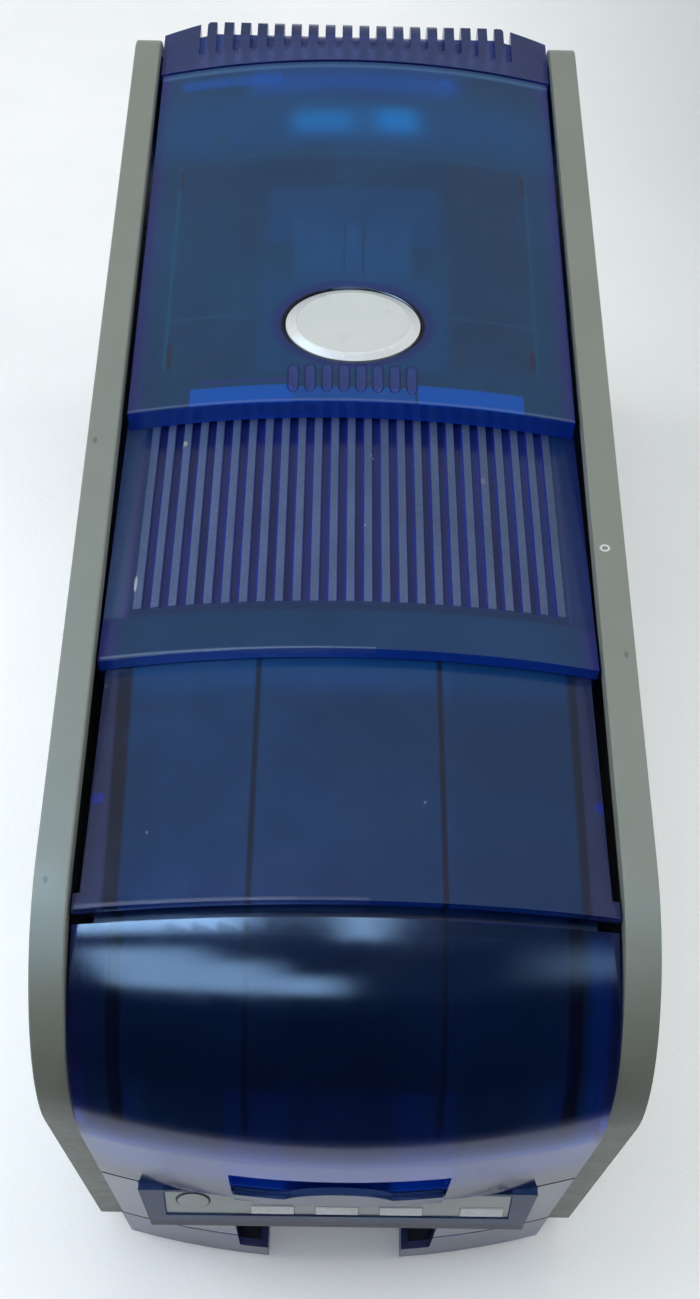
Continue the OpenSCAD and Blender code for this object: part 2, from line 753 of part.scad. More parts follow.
module rear_cover() {
  hook_x = chassis_in - 0.8;
  color(blue) centred() difference() {
    union() {
      along_y(rear_cover_y, rear_cover_end) crown_strip(crest, cover_t, rear_cover_x, flange_h);
      // front lip
      along_y(rear_cover_y, rear_cover_y + cover_t) crown_strip(crest, lip_h, rear_cover_x);
      // hinge ears inside the chassis plates
      for (side = [-1, 1]) intersection() {
        along_x(side > 0 ? hook_x - 3 : -hook_x, side > 0 ? hook_x : -hook_x + 3) union() {
          translate([hinge_y, hinge_z]) circle(r = 4);
          translate([hinge_y - 4, hinge_z]) square([8, crest - hinge_z]);
        }
        along_y(hinge_y - 10, hinge_y + 10) intersection() {
          translate([0, crest - arc_r]) circle(r = arc_r - cover_t / 2, $fn = arc_fn);
          translate([-cover_x, 0]) square([2 * cover_x, 2 * crest]);
        }
      }
      // cup of the button and the sleeve that guides its stem
      intersection() {
        translate([0, latch_y, crest - well_depth - well_t]) linear_extrude(well_depth + well_t)
          oval(latch_w + 2 * (latch_gap + well_t), latch_d + 2 * (latch_gap + well_t));
        along_y(rear_cover_y, rear_cover_end)
          translate([0, crest - arc_r]) circle(r = arc_r - 0.5, $fn = arc_fn);
      }
      translate([0, latch_y, crest - well_depth - well_t - 4]) cylinder(h = 5, r = stem_r + 2.4);
      // ears of the latch lever
      for (side = [-1, 1]) translate([side * 9 - 1.2, lever_y - 3, lever_z - 3])
        cube([2.4, 6, crest - well_depth - 0.5 - lever_z + 3]);
      // posts that carry the printhead carrier
      for (p = carrier_posts) translate([p[0], p[1], carrier_top])
        cylinder(h = crest - drop(50) - carrier_top - 1, r = 3.2);
    }
    // oval well of the button
    translate([0, latch_y, crest - well_depth]) linear_extrude(20)
      oval(latch_w + 2 * latch_gap, latch_d + 2 * latch_gap);
    translate([0, latch_y, crest - well_chamfer])
      scale([(latch_w + 2 * latch_gap) / (latch_d + 2 * latch_gap), 1, 1]) cylinder(h = 3 * well_chamfer,
        r1 = latch_d / 2 + latch_gap, r2 = latch_d / 2 + latch_gap + 4.5 * well_chamfer);
    // finger grips that run out towards the rear
    for (i = [0 : grip_count - 1]) let (x = (i - (grip_count - 1) / 2) * grip_pitch)
      translate([x, rear_cover_y + 5.6, crest - drop(x) + 0.9]) {
        sphere(r = grip_r);
        rotate([-82, 0, 0]) cylinder(h = 12, r = grip_r);
      }
    translate([0, latch_y, crest - 30]) cylinder(h = 40, r = stem_r + 0.3);
    bar_x(-cover_x, cover_x, hinge_y, hinge_z, hinge_pin_r + run_gap);
    bar_x(-12, 12, lever_y, lever_z, lever_pin_r + run_gap);
    for (p = carrier_posts) translate([p[0], p[1], carrier_top - 1]) cylinder(h = 8, r = 1.4);
  }
}

module latch_button() {
  color([0.82, 0.84, 0.84]) centred() translate([0, latch_y, 0]) {
    translate([0, 0, head_z]) linear_extrude(rim_z - head_z + eps) oval(latch_w, latch_d);
    // sloping rim up to a flat plateau
    translate([0, 0, rim_z]) scale([latch_w / latch_d, 1, 1])
      cylinder(h = crest + 0.6 - rim_z, r1 = latch_d / 2, r2 = latch_d / 2 - latch_rim);
    translate([0, 0, crest - 18.5]) cylinder(h = head_z - crest + 18.5 + eps, r = stem_r);
  }
}

module latch_spring() {
  color(steel) centred() translate([0, latch_y, crest - well_depth + 0.4])
    coil(stem_r + 1.4, 0.3, 3, head_z - crest + well_depth - 0.8);
}

module latch_lever() {
  // the nub under the button's stem and the hook in front both hang ahead of the pin
  color(dark) centred() difference() {
    union() {
      bar_x(-7.5, 7.5, lever_y, lever_z, 3.4);
      along_x(-5, 5) polygon([
        [lever_y, lever_z + 1.5], [latch_y + 1.5, lever_z - 0.6], [latch_y + 1, lever_z + 1.1],
        [latch_y - 1, lever_z + 1.1], [latch_y - 1.5, lever_z - 0.6], [hook_y + 4, lever_z - 0.6],
        [hook_y + 1.2, lever_z - 3], [hook_y + 1.2, lever_z - 13], [hook_y, lever_z - 13.8],
        [hook_y + 1.4, lever_z - 16], [hook_y + 4.4, lever_z - 16], [hook_y + 5, lever_z - 4.6],
        [lever_y, lever_z - 3.4]
      ]);
    }
    bar_x(-12, 12, lever_y, lever_z, lever_pin_r + run_gap);
  }
}

module cover_pins() {
  color(steel) centred() {
    both() bar_x(chassis_in - 0.8 - 3.2, chassis_out + 0.2, hinge_y, hinge_z, hinge_pin_r);
    bar_x(-10.6, 10.6, lever_y, lever_z, lever_pin_r);
  }
}

/* ---- Printhead group, carried by the rear cover ---- */

carrier_x = 62;
carrier_y0 = rear_cover_y + 30;
carrier_y1 = hinge_y - 12;
carrier_top = crest - 22;
head_x = 30;
carrier_posts = [for (x = [-50, 50], y = [carrier_y0 + 8, carrier_y1 - 8]) [x, y]];
guide_z = path_z + 28;
guide_r = 1.5;

module printhead_carrier() {
  color(dark) centred() difference() {
    union() {
      translate([-carrier_x, carrier_y0, carrier_top - 2.5])
        cube([2 * carrier_x, carrier_y1 - carrier_y0, 2.5]);
      difference() {
        translate([-carrier_x, carrier_y0, carrier_top - 8])
          cube([2 * carrier_x, carrier_y1 - carrier_y0, 8]);
        translate([-carrier_x + 2.5, carrier_y0 + 2.5, carrier_top - 9])
          cube([2 * carrier_x - 5, carrier_y1 - carrier_y0 - 5, 10]);
      }
      // arms down to the printhead
      for (side = [-1, 1]) translate([side * (head_x + 2.6) - 1.5, platen_y - 9, path_z + 16])
        cube([3, 18, carrier_top - path_z - 17]);
    }
    // room for the latch stem and lever
    translate([-12, carrier_y0 - 1, carrier_top - 20]) cube([24, lever_y + 6 - carrier_y0, 40]);
    for (p = carrier_posts) translate([p[0], p[1], carrier_top - 10]) cylinder(h = 20, r = 1.6);
    // slots that guide the printhead's pins
    for (side = [-1, 1]) translate([side * (head_x + 2.6) - 3, platen_y - guide_r - 0.1, guide_z - 4])
      cube([6, 2 * guide_r + 0.2, 8]);
    // window over the supply spool
    translate([-22, platen_y + 26, carrier_top - 20]) cube([44, max(10, carrier_y1 - platen_y - 40), 40]);
  }
}

module printhead() {
  color([0.75, 0.7, 0.6]) centred() difference() {
    union() {
      translate([-head_x, platen_y - 7, path_z + 12]) cube([2 * head_x, 14, 8]);
      along_x(-head_x, head_x) polygon([
        [platen_y - 7, path_z + 12.5], [platen_y - 7, path_z + 6], [platen_y - 1.4, path_z + 1.6],
        [platen_y + 1.4, path_z + 1.6], [platen_y + 4, path_z + 6], [platen_y + 7, path_z + 12.5]
      ]);
    }
    for (x = [-20, 20]) translate([x, platen_y, path_z + 16]) cylinder(h = 10, r = 1.4);
  }
}

module printhead_heatsink() {
  color(steel) centred() bar_x(-head_x - 4.6, head_x + 4.6, platen_y, guide_z, guide_r);
  color(steel) centred() difference() {
    translate([-head_x, platen_y - 8, path_z + 20]) cube([2 * head_x, 16, 22]);
    for (i = [0 : 8]) translate([-head_x + 3.1 + i * 6.2, platen_y - 9, path_z + 24])
      cube([3.4, 18, 20]);
  }
}

module printhead_springs() {
  z0 = path_z + 42.1;
  color(steel) centred() for (x = [-21.6, 21.6])
    translate([x, platen_y, z0 + 0.6]) coil(3.2, 0.6, 6, carrier_top - 2.6 - z0 - 1.2);
}

/* ---- Rear ---- */

// Plan of the rear vent's top: fins with round ends, and air slots that end in a half circle
module vent_plan() {
  strip = 4.5;
  slot_w = fin_pitch - fin_w;
  block_x = fin_pitch * (fin_count + 1) / 2;
  difference() {
    union() {
      for (i = [0 : fin_count - 1]) let (x = (i - (fin_count - 1) / 2) * fin_pitch) {
        translate([x - fin_w / 2, vent_y + strip])
          square([fin_w, vent_end - drop(x) - fin_w / 2 - vent_y - strip]);
        translate([x, vent_end - drop(x) - fin_w / 2]) circle(d = fin_w);
      }
      for (side = [-1, 1]) translate([side > 0 ? block_x - 2 : -cover_x, vent_y])
        square([cover_x - block_x + 2, 60]);
      translate([-cover_x, vent_y]) square([2 * cover_x, strip + slot_w / 2]);
    }
    for (i = [0 : fin_count])
      translate([(i - fin_count / 2) * fin_pitch, vent_y + strip + slot_w / 2]) circle(d = slot_w);
  }
}

// Lip that reaches forward over the swing of the rear cover's rear edge
module vent_lip() {
  edge_r = sqrt(hinge_back * hinge_back + pow(hinge_drop - crown, 2)) + swing_gap;
  sag = swing_r - edge_r;
  swing_arc = (cover_x * cover_x + sag * sag) / (2 * sag);
  difference() {
    along_y(rear_cover_end + rear_seam, vent_y + eps) intersection() {
      translate([0, crest - arc_r]) circle(r = arc_r, $fn = arc_fn);
      translate([-cover_x, hinge_z]) square([2 * cover_x, crest]);
    }
    translate([0, hinge_y, hinge_z]) rotate([0, 90, 0]) rotate_extrude() intersection() {
      translate([swing_r - swing_arc, 0]) circle(r = swing_arc, $fn = arc_fn);
      translate([0, -cover_x - 1]) square([2 * swing_r, 2 * cover_x + 2]);
    }
  }
}

module vent_comb() {
  low = 3.2;
  color(blue) centred() difference() {
    union() {
      intersection() {
        // crowned body with a rounded, bowed rear edge
        union() {
          vent_mass(low);
          intersection() {
            vent_mass(0);
            linear_extrude(2 * crest) vent_plan();
          }
        }
        translate([-cover_x, vent_y, comb_z]) cube([2 * cover_x, 80, crest]);
      }
      vent_lip();
    }
    // hollow, open in front of the rear plate and closed below behind it
    intersection() {
      vent_mass(low + cover_t);
      along_x(-cover_x + cover_t, cover_x - cover_t) polygon([
        [vent_y - 1, comb_z - 1], [rear_plate_y + plate_t + 0.3, comb_z - 1],
        [rear_plate_y + plate_t + 0.3, comb_z + cover_t], [vent_end, comb_z + cover_t],
        [vent_end, 2 * crest], [vent_y - 1, 2 * crest]
      ]);
    }
    // air slots between the fins
    for (i = [0 : fin_count]) translate([(i - fin_count / 2) * fin_pitch - (fin_pitch - fin_w) / 2,
      vent_y + 8, crest - 34]) cube([fin_pitch - fin_w, 60, 24]);
  }
}

// Body of the rear vent, lowered by d at its top and rear
module vent_mass(d) {
  r = 15;
  intersection() {
    along_y(vent_y, vent_end + 20) intersection() {
      translate([0, crest - d - arc_r]) circle(r = arc_r, $fn = arc_fn);
      translate([-cover_x, 0]) square([2 * cover_x, 2 * crest]);
    }
    linear_extrude(2 * crest) intersection() {
      translate([0, vent_end - d * 1.2 - arc_r]) circle(r = arc_r, $fn = arc_fn);
      translate([-cover_x, vent_y]) square([2 * cover_x, 100]);
    }
    along_x(-cover_x, cover_x) union() {
      translate([vent_y, 0]) square([vent_end - 3 - r - vent_y, 2 * crest]);
      translate([vent_y, 0]) square([vent_end + 5 - vent_y, crest - r - 3 - d]);
      translate([vent_end - r - d - 1, crest - r - 1 - d]) circle(r = r);
    }
  }
}

module rear_panel() {
  color(dark) centred() difference() {
    union() {
      translate([-cover_x + cover_t + 0.3, rear_plate_y, floor_top])
        cube([2 * (cover_x - cover_t - 0.3), plate_t, comb_z + 8 - floor_top]);
      translate([-base_x + 0.4, rear_plate_y, base_top + 0.3])
        cube([2 * base_x - 0.8, plate_t, comb_z - base_top - 0.6]);
    }
    // holes for the connectors and the power button
    translate([inlet_x, rear_plate_y - 1, port_z]) cube([inlet_w, plate_t + 2, port_h]);
    translate([network_x, rear_plate_y - 1, port_z]) cube([network_w, plate_t + 2, network_h]);
    translate([usb_x, rear_plate_y - 1, port_z]) cube([usb_w, plate_t + 2, port_h]);
    translate([power_x, rear_plate_y - 1, power_z]) rotate([-90, 0, 0]) cylinder(h = plate_t + 2, r = 6.3);
    // cooling slots
    for (i = [-4 : 4]) translate([i * 12 - 3, rear_plate_y - 1, 92]) cube([6, plate_t + 2, 36]);
    for (x = [-1, 1]) translate([x * (base_x - wall_t - 6), rear_plate_y - 1, 13])
      rotate([-90, 0, 0]) cylinder(h = plate_t + 2, r = 1.6);
  }
}

power_x = 48;
power_z = 62;
power_travel = 2.5;

module power_inlet() {
  color(dark) centred() difference() {
    translate([inlet_x + port_fit, rear_plate_y - 11, port_z + port_fit])
      cube([inlet_w - 2 * port_fit, 11 + plate_t + 1, port_h - 2 * port_fit]);
    translate([inlet_x + inlet_w / 2, rear_plate_y - 6, port_z + port_h / 2]) rotate([-90, 0, 0])
      cylinder(h = 20, r = 4.5);
  }
  color(steel) centred() translate([inlet_x + inlet_w / 2, rear_plate_y - 6 - eps, port_z + port_h / 2])
    rotate([-90, 0, 0]) cylinder(h = 7, r = 1.2);
}

module data_ports() {
  color(steel) centred() {
    difference() {
      translate([network_x + port_fit, rear_plate_y - 12, port_z + port_fit])
        cube([network_w - 2 * port_fit, 12 + plate_t + 0.6, network_h - 2 * port_fit]);
      translate([network_x + 2, rear_plate_y - 4, port_z + 1.8]) cube([network_w - 4, 10, network_h - 3.6]);
    }
    difference() {
      translate([usb_x + port_fit, rear_plate_y - 14, port_z + port_fit])
        cube([usb_w - 2 * port_fit, 14 + plate_t + 0.6, port_h - 2 * port_fit]);
      translate([usb_x + 2.2, rear_plate_y - 8, port_z + 2.4]) cube([usb_w - 4.4, 20, port_h - 5]);
    }
  }
}

module power_button() {
  color(grey) centred() translate([power_x, rear_plate_y - 4, power_z]) rotate([-90, 0, 0]) {
    cylinder(h = 4 + plate_t + power_travel + 1, r = 6);
    cylinder(h = 2, r = 7.4);
  }
}

module main_board() {
  y0 = board_y;
  color([0.1, 0.35, 0.2]) centred() {
    difference() {
      translate([-board_w / 2, y0, board_z]) cube([board_w, 132, board_t]);
      for (x = [-board_hole_x, board_hole_x], y = board_holes)
        translate([x, y, board_z - 1]) cylinder(h = 4, r = 1.6);
    }
    // chips, capacitors and headers
    translate([-12, y0 + 40, board_z + board_t - eps]) cube([24, 24, 2.4]);
    translate([20, y0 + 44, board_z + board_t - eps]) cube([12, 18, 1.4]);
    translate([-34, y0 + 46, board_z + board_t - eps]) cube([12, 12, 1.4]);
    for (i = [0 : 3]) translate([-30 + i * 13, y0 + 88, board_z + board_t - eps]) cylinder(h = 9, r = 4);
    for (x = [-50, 36]) translate([x, y0 + 4, board_z + board_t - eps]) cube([16, 5, 6]);
    // switch behind the power button
    translate([power_x - 4, rear_plate_y - 13, board_z + board_t - eps]) cube([8, 6, power_z - board_z + 4]);
  }
}

/* ---- Chassis ---- */

module chassis_outline() {
  difference() {
    union() {
      polygon([
        [4, floor_top + pad_h], [chassis_end, floor_top + pad_h], [chassis_end, hinge_z - 26],
        [hinge_y + 4, hinge_z - 20], [hinge_y + 4, hinge_z], [hinge_y - 4, hinge_z],
        [hinge_y - 8, chassis_top], [rail_y1 + 8, chassis_top], [rail_y1, rail_z(rail_y1) - 1],
        [door_y + 3, rail_z(door_y + 3) - 1],
        [corner_y, corner_z + corner_r - 14], [corner_y, corner_z], [4, corner_z]
      ]);
      translate([hinge_y, hinge_z]) circle(r = 4);
      // the front follows the cover's corner
      intersection() {
        translate([corner_y, corner_z]) circle(r = corner_r - 12);
        translate([0, corner_z]) square([corner_y, corner_r]);
      }
    }
    // bush seats, hinge pin, screw holes
    for (y = roller_ys) translate([y, axle_z]) circle(r = bush_r + 0.03);
    translate([hinge_y, hinge_z]) circle(r = hinge_pin_r + run_gap);
    translate([entry_y, cleaner_z]) circle(r = cleaner_axle_r + run_gap);
    for (p = panel_bosses) translate([p[0], p[1]]) circle(r = 1.6);
  }
}

module chassis_flange() {
  difference() {
    translate([chassis_in - flange_w, flange_ys[0] - 10, floor_top + pad_h])
      cube([flange_w + eps, chassis_end - 80, flange_t]);
    for (y = flange_ys) translate([flange_x, y, floor_top]) cylinder(h = 10, r = screw_core + 0.3);
  }
}

module chassis_side(motor) {
  difference() {
    union() {
      along_x(chassis_in, chassis_out) chassis_outline();
      chassis_flange();
    }
    if (motor) bar_x(chassis_in - 1, chassis_out + 1, motor_y, motor_z, 4.5);
    if (!motor) bar_x(chassis_in - 1, chassis_out + 1, takeup_y, spool_z, bush_r + 0.03);
    if (!motor) bar_x(chassis_in - 1, chassis_out + 1, takeup_y, spool_z - ribbon_drop, 3);
  }
}

module chassis_left() { color(steel) centred() mirror([1, 0, 0]) chassis_side(true); }
module chassis_right() { color(steel) centred() chassis_side(false); }

module cross_bars() {
  color(steel) centred() for (p = [[150, 160], [exit_y + 24, 130], [rear_cover_y + 1, crest - lip_h - 34]])
    bar_x(-chassis_in, chassis_in, p[0], p[1], 3);
  // catch plate in front of the latch hook
  color(steel) centred() translate([-chassis_in, catch_y - 13, lever_z - 12.3])
    cube([2 * chassis_in, 13, 1.5]);
}

module input_hopper() {
  z0 = path_z + 1;
  back_top = rail_z(hopper_y1) - 8;
  color(dark) centred() difference() {
    union() {
      both() along_x(hopper_x, hopper_x + hopper_t) union() {
        polygon([
          [16, z0 + 24], [hopper_y1 + 2, z0], [hopper_y1 + 2, back_top], [corner_y, back_top + 6],
          [corner_y, corner_z]
        ]);
        translate([hopper_y0 - 2, z0]) square([hopper_y1 - hopper_y0 + 4, 30]);
        intersection() {
          translate([corner_y, corner_z]) circle(r = crest_r - 14);
          translate([0, z0 + 24]) square([corner_y, corner_r]);
        }
      }
      // front and rear walls, floor
      translate([-hopper_x - hopper_t, hopper_y0 - 2, z0]) cube([2 * (hopper_x + hopper_t), 2, 60]);
      translate([-hopper_x - hopper_t, hopper_y1, z0 + 3]) cube([2 * (hopper_x + hopper_t), 2, 60]);
      translate([-hopper_x - hopper_t, hopper_y0 - 2, z0]) cube([2 * (hopper_x + hopper_t), card_l - 4, 2]);
      // ears to the chassis plates
      for (side = [-1, 1], y = [hopper_y0 + 4, hopper_y1 - 10])
        translate([side > 0 ? hopper_x + hopper_t - eps : -chassis_in, y, z0 + 30])
          cube([chassis_in - hopper_x - hopper_t + eps, 6, 3]);
    }
    // the pick roller reaches through the floor
    translate([-sleeve_x - 1, pick_y - roller_r, z0 - 1]) cube([2 * sleeve_x + 2, 60, 4]);
  }
}

module output_tray() {
  y1 = 92;
  color(dark) centred() difference() {
    union() {
      translate([0, 0, tray_z - 2.4]) linear_extrude(2.4) intersection() {
        front_plan(tray_x + wall_t + 1, y1 + wall_t + 1, wall_t + 0.3);
        translate([-tray_x, crest_y]) square([2 * tray_x, y1 - crest_y]);
      }
      for (side = [-1, 1]) translate([side > 0 ? tray_x - 0.4 : -tray_x - 1.6, -3, floor_top])
        cube([2, y1 + 3, 64]);
      translate([-tray_x - 1.6, y1 - 2, floor_top]) cube([2 * tray_x + 3.2, 2, 64]);
    }
    translate([-finger_x - wall_t - 0.3, crest_y, 0]) cube([2 * (finger_x + wall_t + 0.3),
      finger_y + wall_t + 0.3 - crest_y, 60]);
  }
}

/* ---- Card transport ---- */

// An axle with its belt pulley, pulley on the left
module pulley_axle(y) {
  color(steel) centred() {
    bar_x(-pulley_x - pulley_w, chassis_out + 1, y, axle_z, axle_r);
    bar_x(-pulley_x - pulley_w, -pulley_x, y, axle_z, pulley_r);
    for (x = [-pulley_x - pulley_w, -pulley_x - 0.8]) bar_x(x, x + 0.8, y, axle_z, pulley_r + 1);
  }
}

module sleeve(y) {
  color(rubber) centred() difference() {
    bar_x(-sleeve_x, sleeve_x, y, axle_z, roller_r);
    bar_x(-sleeve_x - 1, sleeve_x + 1, y, axle_z, axle_r);
  }
}

module pick_axle() { pulley_axle(pick_y); }
module entry_axle() { pulley_axle(entry_y); }
module platen_axle() { pulley_axle(platen_y); }
module exit_axle() { pulley_axle(exit_y); }
module pick_sleeve() { sleeve(pick_y); }
module entry_sleeve() { sleeve(entry_y); }
module platen_sleeve() { sleeve(platen_y); }
module exit_sleeve() { sleeve(exit_y); }

module bushes() {
  color(cream) centred() for (y = roller_ys, side = [-1, 1])
    difference() {
      union() {
        bar_x(side > 0 ? chassis_in : -chassis_out, side > 0 ? chassis_out : -chassis_in, y, axle_z, bush_r);
        bar_x(side > 0 ? chassis_in - 1.6 : -chassis_in, side > 0 ? chassis_in : -chassis_in + 1.6, y, axle_z,
          bush_r + 1.4);
      }
      bar_x(-body_w, body_w, y, axle_z, axle_r + run_gap);
    }
  color(cream) centred() difference() {
    union() {
      bar_x(chassis_in, chassis_out, takeup_y, spool_z, bush_r);
      bar_x(chassis_in - 1.6, chassis_in, takeup_y, spool_z, bush_r + 1.4);
    }
    bar_x(-body_w, body_w, takeup_y, spool_z, axle_r + run_gap);
  }
}

module cleaning_roller() {
  color([0.3, 0.5, 0.75]) centred() {
    bar_x(-sleeve_x, sleeve_x, entry_y, cleaner_z, 8);
    bar_x(-chassis_out + 0.2, chassis_out - 0.2, entry_y, cleaner_z, cleaner_axle_r);
  }
}

// Outline of a belt round the end pulleys and the motor pulley
module belt_outline(r_big, r_small) {
  hull() {
    translate([pick_y, axle_z]) circle(r = r_big);
    translate([exit_y, axle_z]) circle(r = r_big);
    translate([motor_y, motor_z]) circle(r = r_small);
  }
}

module drive_belt() {
  gap = 0.1;
  color(rubber) centred() along_x(-pulley_x - pulley_w + 1, -pulley_x - 1) difference() {
    belt_outline(pulley_r + gap + belt_t, motor_pulley_r + gap + belt_t);
    belt_outline(pulley_r + gap, motor_pulley_r + gap);
  }
}

module motor_pulley() {
  color(steel) centred() difference() {
    union() {
      bar_x(-pulley_x - pulley_w, -pulley_x, motor_y, motor_z, motor_pulley_r);
      for (x = [-pulley_x - pulley_w, -pulley_x - 0.8])
        bar_x(x, x + 0.8, motor_y, motor_z, motor_pulley_r + 1);
    }
    bar_x(-pulley_x - pulley_w - 1, -pulley_x + 1, motor_y, motor_z, 2.5);
  }
  color(steel) centred() bar_x(-pulley_x - pulley_w, -chassis_in + 4, motor_y, motor_z, 2.5);
}

module drive_motor() {
  color(steel) centred() difference() {
    translate([-chassis_in, motor_y - 20, motor_z - 20]) cube([34, 40, 40]);
    bar_x(-chassis_in - 1, -chassis_in + 8, motor_y, motor_z, 2.5 + run_gap);
    // the chamfered corners of the stack
    for (y = [-1, 1], z = [-1, 1]) translate([-chassis_in - 1, motor_y + 20 * y, motor_z + 20 * z])
      rotate([45, 0, 0]) translate([0, -3, -3]) cube([36, 6, 6]);
  }
}

/* ---- Ribbon ---- */

module spool(y, roll_r, x1) {
  bar_x(-spool_x, spool_x, y, spool_z, core_r);
  bar_x(-spool_x + 1.5, spool_x - 1.5, y, spool_z, roll_r);
  for (x = [-spool_x, spool_x - 1.5]) bar_x(x, x + 1.5, y, spool_z, roll_r + 3);
  bar_x(-cart_x - 1.9, x1, y, spool_z, axle_r);
}

module takeup_spool() { color(dark) centred() spool(takeup_y, takeup_r, chassis_out + 6.5); }
module supply_spool() { color(dark) centred() spool(supply_y, supply_r, cart_x + 1.9); }

module takeup_gear() {
  color([0.9, 0.9, 0.86]) centred() difference() {
    translate([chassis_out + 1.5, takeup_y, spool_z]) rotate([90, 0, 90]) gear(takeup_teeth, gear_m, 4.5);
    bar_x(chassis_out, chassis_out + 10, takeup_y, spool_z, axle_r);
  }
}

module ribbon_pinion() {
  color([0.9, 0.9, 0.86]) centred() translate([chassis_out + 1.5, takeup_y, spool_z - ribbon_drop])
    rotate([90, 0, 90]) gear(ribbon_teeth, gear_m, 4.5);
  color(steel) centred() bar_x(chassis_in - 4, chassis_out + 1.5 + eps, takeup_y, spool_z - ribbon_drop, 1.5);
}

module ribbon_motor() {
  color(steel) centred() difference() {
    bar_x(chassis_in - 24, chassis_in, takeup_y, spool_z - ribbon_drop, 12);
    bar_x(chassis_in - 5, chassis_in + 1, takeup_y, spool_z - ribbon_drop, 1.5 + run_gap);
  }
}

module ribbon_cartridge() {
  y0 = takeup_y - 15;
  y1 = supply_y + 24;
  color(dark) centred() {
    both() difference() {
      along_x(cart_x, cart_x + 2) difference() {
        translate([y0, spool_z - 20]) rounded_rect(y1 - y0, 36, 4);
        translate([takeup_y + 16, spool_z - 30]) square([supply_y - takeup_y - 38, 30]);
        for (y = [takeup_y, supply_y]) translate([y, spool_z]) circle(r = axle_r + run_gap);
      }
    }
    // bars and side pegs that carry the cartridge
    for (y = [y0 + 2.6, y1 - 2.6]) bar_x(-cart_x - eps, cart_x + eps, y, spool_z + 11, 2);
    both() bar_x(cart_x + 2 - eps, chassis_in - 0.1, y1 - 6, spool_z + 4, 2.5);
    both() bar_x(cart_x + 2 - eps, chassis_in - 0.1, y0 + 5, spool_z + 10, 2);
  }
}

film_z = path_z + 1.15;

module ribbon_film() {
  t = 0.25;
  // leaves the supply roll's front, dips under the printhead, rises to the take-up roll's rear
  ys = supply_y - supply_r - 0.4;
  yt = takeup_y + takeup_r + 0.4;
  color([0.1, 0.1, 0.12]) centred() along_x(-spool_x + 2.2, spool_x - 2.2) polygon([
    [ys, spool_z], [platen_y + 2, film_z + t], [platen_y - 2, film_z + t], [yt, spool_z],
    [yt - t, spool_z], [platen_y - 2.2, film_z], [platen_y + 2.2, film_z], [ys + t, spool_z]
  ]);
}

/* ---- Small parts ---- */

module display_cable() {
  t = 0.5;
  z0 = floor_top + 1.8;
  z1 = board_z + 5;
  y0 = 3;
  y1 = board_y - 3;
  color([0.9, 0.9, 0.88]) centred() along_x(39, 51) polygon([
    [y0, 82], [y0, z0], [y1, z0], [y1, z1], [board_y + 4, z1],
    [board_y + 4, z1 - t], [y1 + t, z1 - t], [y1 + t, z0 - t], [y0 - t, z0 - t], [y0 - t, 82]
  ]);
}

module carrier_screws() {
  color(steel) centred() for (p = carrier_posts) translate([p[0], p[1], carrier_top - 2.5]) screw(8);
}

module screws() {
  color(steel) centred() {
    for (p = panel_bosses, side = [-1, 1]) translate([side * (chassis_in), p[0], p[1]])
      rotate([0, 90 * side, 0]) screw(9);
    for (x = [-1, 1], y = flange_ys)
      translate([x * flange_x, y, floor_top + pad_h + flange_t]) rotate([180, 0, 0]) screw(6);
    for (x = [-board_hole_x, board_hole_x], y = board_holes)
      translate([x, y, board_z + board_t]) rotate([180, 0, 0]) screw(board_t, 1.5);
  }
}

base();
side_panel_left();
side_panel_right();
front_cover();
front_bezel();
display_frame();
display_lens();
display_module();
status_lights();
user_button();
exception_slot();
hopper_door();
door_rails();
ribbed_bridge();
rear_cover();
latch_button();
latch_spring();
latch_lever();
cover_pins();
printhead_carrier();
printhead();
printhead_heatsink();
printhead_springs();
vent_comb();
rear_panel();
power_inlet();
data_ports();
power_button();
chassis_left();
chassis_right();
cross_bars();
input_hopper();
output_tray();
pick_axle();
pick_sleeve();
entry_axle();
entry_sleeve();
platen_axle();
platen_sleeve();
exit_axle();
exit_sleeve();
cleaning_roller();
bushes();
drive_belt();
drive_motor();
motor_pulley();
ribbon_cartridge();
supply_spool();
takeup_spool();
ribbon_film();
takeup_gear();
ribbon_motor();
ribbon_pinion();
main_board();
display_cable();
feet();
carrier_screws();
screws();
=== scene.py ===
import json
import math

import bmesh
import bpy
from mathutils import Matrix, Vector

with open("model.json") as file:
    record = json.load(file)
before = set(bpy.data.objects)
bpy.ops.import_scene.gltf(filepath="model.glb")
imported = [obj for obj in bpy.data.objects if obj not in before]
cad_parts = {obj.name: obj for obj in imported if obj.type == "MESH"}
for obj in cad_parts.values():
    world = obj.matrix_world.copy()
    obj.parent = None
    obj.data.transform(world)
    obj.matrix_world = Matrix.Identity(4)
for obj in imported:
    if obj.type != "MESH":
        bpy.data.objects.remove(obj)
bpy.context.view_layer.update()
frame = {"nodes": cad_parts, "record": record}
scene = bpy.context.scene
nodes = frame["nodes"]

# The model's middle, front to rear, from the side panels' front edge
MID_Y = 0.204835


def at(x, y, z):
    """A point in millimetres from the side panels' front edge, in the row frame in metres."""
    return Vector((x / 1000, y / 1000 - MID_Y, z / 1000))


# ---- Camera, solved from the edges that the photo shows ----

FOCAL_PX = 1519.254
FRAME_H_PX = 1299
SENSOR_MM = 36
PITCH, YAW, ROLL = 1.03466, 0.0280096, 0.0426656
CAMERA_PLACE = at(-6.4704, -108.1856, 615.5787)

